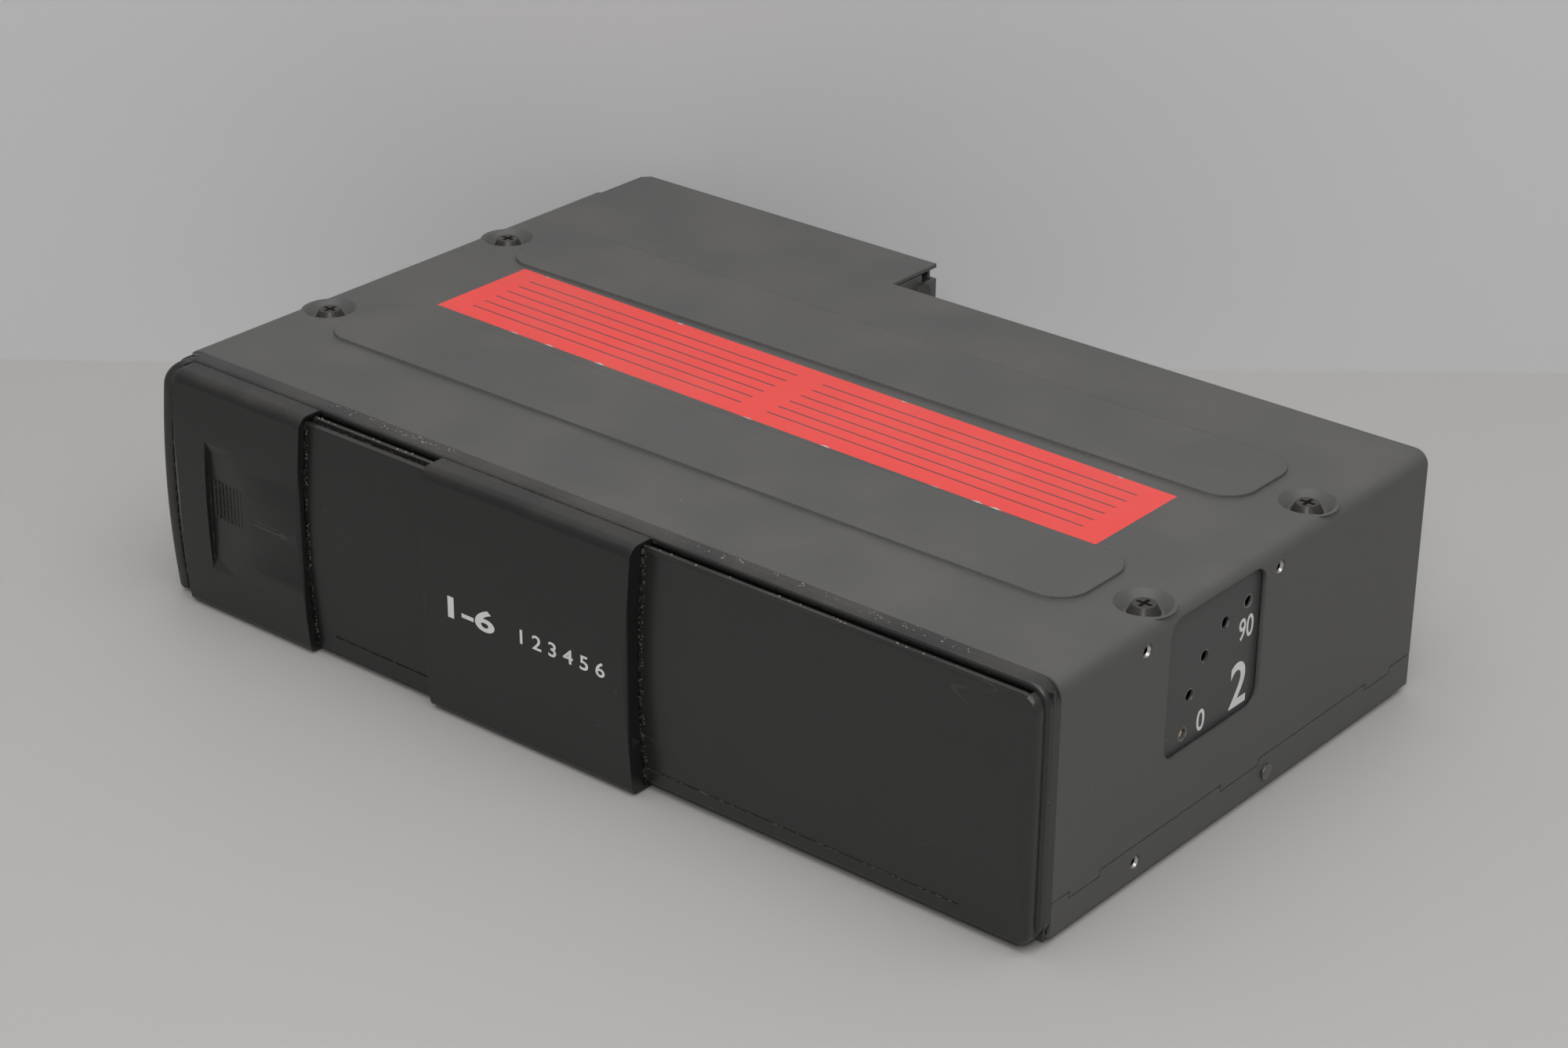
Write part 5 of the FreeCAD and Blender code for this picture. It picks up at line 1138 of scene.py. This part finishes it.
@dataclass
class BracketRims(Part):
    """Bare rims inside the holes that take the mounting brackets."""

    spots: tuple[Pair, ...] = ((37.3, 4.3), (37.3, 54.5), (87.5, 54.5))
    left_spot: Pair = (87.5, 4.3)
    walls: tuple[tuple[float, int], ...] = ((255.7, -1), (0.3, 1))
    lip: float = 0.25
    lip_proud: float = 0.06
    outer: float = 1.62
    inner: float = 0.95
    depth: float = 0.5
    steps: int = 24

    def build(self) -> None:
        """Makes the rims of both sides."""
        heap = Heap()
        profile = ((self.outer, 0.0), (self.outer - self.lip, -self.lip_proud), (self.inner, self.depth))
        for wall, inward in self.walls:
            spots = self.spots if inward < 0 else self.spots + (self.left_spot,)
            for y, z in spots:
                rings = []
                for radius, depth in profile:
                    for k in range(self.steps):
                        angle = k * math.tau / self.steps
                        step_y, step_z = radius * math.cos(angle), radius * math.sin(angle)
                        rings.append(at(wall + inward * depth, y + step_y, z + step_z))
                faces = []
                for band in range(len(profile) - 1):
                    for k in range(self.steps):
                        a, b = band * self.steps + k, band * self.steps + (k + 1) % self.steps
                        face = [a, b, b + self.steps, a + self.steps]
                        faces.append(face if inward < 0 else face[::-1])
                heap.add(rings, faces)
        self.shop.piece("bracket_hole_rims", heap.points, heap.faces, "case", "bare_rim", "zinc_steel")


@dataclass(frozen=True)
class StillCamera:
    """The camera that looks down at the right front corner."""

    place: Point = (0.462175, -0.5658, 0.3858)
    forward: Point = (-0.5713, 0.6930, -0.4398)
    up: Point = (-0.2864, 0.3339, 0.8980)
    lens: float = 78.83
    sensor: float = 36.0

    def build(self) -> None:
        """Makes the camera and gives it to the scene."""
        data = bpy.data.cameras.new("still_camera")
        data.lens = self.lens
        data.sensor_width = self.sensor
        data.clip_start = 0.01
        data.clip_end = 30.0
        camera = stands("still_camera", data)
        back = -Vector(self.forward).normalized()
        right = Vector(self.up).cross(back).normalized()
        up = back.cross(right)
        turn = Matrix((right, up, back)).transposed().to_4x4()
        camera.matrix_world = Matrix.Translation(self.place) @ turn
        bpy.context.scene.camera = camera


@dataclass
class Studio:
    """The pale table, the backdrop and the soft light."""

    table: Colour = (0.435, 0.425, 0.413)
    wall: Colour = (0.64, 0.64, 0.645)
    wall_distance: float = 0.889
    ambient: float = 0.30
    half_width: float = 3.0
    wall_height: float = 2.4
    table_depth: float = 5.0
    rough: float = 0.55
    cloud_scale: float = 3.0
    cloud_ends: Pair = (0.97, 1.03)
    key_power: float = 29.5
    key_place: Point = (0.35, -0.3, 1.6)
    key_target: Point = (0.05, 0.05, 0)
    key_size: float = 2.2
    front_power: float = 1.5
    front_place: Point = (0.52, -0.72, 0.62)
    front_target: Point = (0, 0, 0.03)
    front_size: float = 0.16

    def sheet(self, name: str, corners: list[Vector], colour: Colour) -> None:
        """Makes one plain sheet that shows only from its front.

        Args:
            name: the sheet's name.
            corners: its corners.
            colour: its colour.
        """
        mesh = bpy.data.meshes.new(name)
        mesh.from_pydata([tuple(corner) for corner in corners], [], [[0, 1, 2, 3]])
        material = bpy.data.materials.new(name)
        graph = Graph.emptied(material)
        place = graph.add("ShaderNodeTexCoord").outputs["Object"]
        cloud = graph.ramp(graph.noise(place, self.cloud_scale, 3.0), (0.0, 1.0), self.cloud_ends)
        shade = graph.tinted(colour, cloud)
        front = graph.add("ShaderNodeBsdfPrincipled", {"Base Color": shade, "Roughness": self.rough})
        clear = graph.add("ShaderNodeBsdfTransparent")
        side = graph.add("ShaderNodeNewGeometry").outputs["Backfacing"]
        both = graph.add("ShaderNodeMixShader", {0: side, 1: front.outputs[0], 2: clear.outputs[0]})
        graph.feed(graph.add("ShaderNodeOutputMaterial").inputs[0], both.outputs[0])
        mesh.materials.append(material)
        stands(name, mesh)

    def lamp(self, name: str, place: Point, target: Point, power: float, size: float) -> None:
        """Hangs one soft lamp.

        Args:
            name: the lamp's name.
            place: where it hangs.
            target: what it looks at.
            power: its power in watts.
            size: its side in metres.
        """
        data = bpy.data.lights.new(name, "AREA")
        data.energy = power
        data.size = size
        lamp = stands(name, data)
        lamp.location = place
        lamp.rotation_euler = (Vector(target) - Vector(place)).to_track_quat("-Z", "Y").to_euler()

    def build(self) -> None:
        """Sets up the sheets, the world and the lamps."""
        scene = bpy.context.scene
        scene.view_settings.view_transform = "Standard"
        camera = StillCamera()
        start = Vector((camera.place[0], camera.place[1], 0))
        ahead = Vector((camera.forward[0], camera.forward[1], 0)).normalized()
        side = Vector((-ahead.y, ahead.x, 0))
        foot = start + ahead * self.wall_distance
        wide, tall = side * self.half_width, Vector((0, 0, self.wall_height))
        self.sheet("backdrop", [foot + wide, foot - wide, foot - wide + tall, foot + wide + tall], self.wall)
        near = foot - ahead * self.table_depth
        self.sheet("table", [near + wide, near - wide, foot - wide, foot + wide], self.table)
        scene.world = bpy.data.worlds.new("studio")
        graph = Graph.emptied(scene.world)
        seen = graph.add("ShaderNodeLightPath").outputs["Is Camera Ray"]
        level = graph.blend(seen, (self.ambient,) * 3 + (1.0,), (*self.wall, 1.0))
        sky = graph.add("ShaderNodeBackground", {"Color": level, "Strength": 1.0})
        graph.feed(graph.add("ShaderNodeOutputWorld").inputs[0], sky.outputs[0])
        self.lamp("key_lamp", self.key_place, self.key_target, self.key_power, self.key_size)
        self.lamp("front_lamp", self.front_place, self.front_target, self.front_power, self.front_size)


class Changer:
    """The whole changer, built in order."""

    def __init__(self) -> None:
        """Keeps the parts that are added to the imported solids."""
        self.shop = shop = Workshop()
        down, back = (0, 0, -1), (0, 1, 0)
        self.parts = [
            FrontMoulding(shop, "front_bezel", "case", "front_moulding", "front_plastic"),
            GripLeaf(shop, "door_leaf_grip", "door_grip", "finger_leaf", "door_plastic"),
            SideScrew(shop, "chassis_side_screw", "case", "side_screw_head", "zinc_screw"),
            KeySpring(shop, "eject_spring", "case", "key_spring", "spring_steel"),
            Rim(shop),
            CoverLabel(shop),
            Glyphs(shop, "door_leaf_centre", "door_centre", (1, 0, 0), (0, 0, 1), (0, -1, 0), (
                ("disc_range_numerals", "1-6", (105.3, -6, 28.9), 5.5, 14.5, 0.025),
                ("disc_row_numerals", "1 2 3 4 5 6", (133, -6, 28.85), 3.6, 25.3, 0.012))),
            SlideArrow(shop),
            Glyphs(shop, "index_plate_right", "case", (0, 1, 0), (0, 0, 1), (1, 0, 0), (
                ("angle_high_right", "90", (254.7, 77.2, 43.8), 5.4, 5.6, 0.01),
                ("angle_low_right", "0", (254.7, 61.3, 28), 5.2, 3, 0.01),
                ("side_numeral_right", "2", (254.7, 75.6, 30.8), 10.8, 6.4, 0.015))),
            BracketRims(shop),
            Crumbs(shop, "rail_grit_left", (50.5, 0.6, 59), (90, 6.6, 59), down, 150, 5),
            Crumbs(shop, "rail_grit_right", (153, 0.6, 59), (235, 6.6, 59), down, 190, 6),
            Crumbs(shop, "leaf_grit", (50.1, -2, 3), (50.7, -2, 57), back, 90, 7, (0.06, 0.2),
                   "door_leaf_centre", "door_centre"),
            Crumbs(shop, "panel_grit", (152, 0, 3), (152.6, 0, 57), back, 60, 9, (0.06, 0.18)),
        ]

    def build(self) -> None:
        """Dresses the solids and builds each added part."""
        self.shop.dress_solids()
        for part in self.parts:
            part.build()


def main() -> None:
    """Builds the camera, the changer and the studio."""
    logging.basicConfig(level=logging.INFO, format="%(name)s: %(message)s")
    StillCamera().build()
    Changer().build()
    Studio().build()


if __name__ == "__main__":
    main()
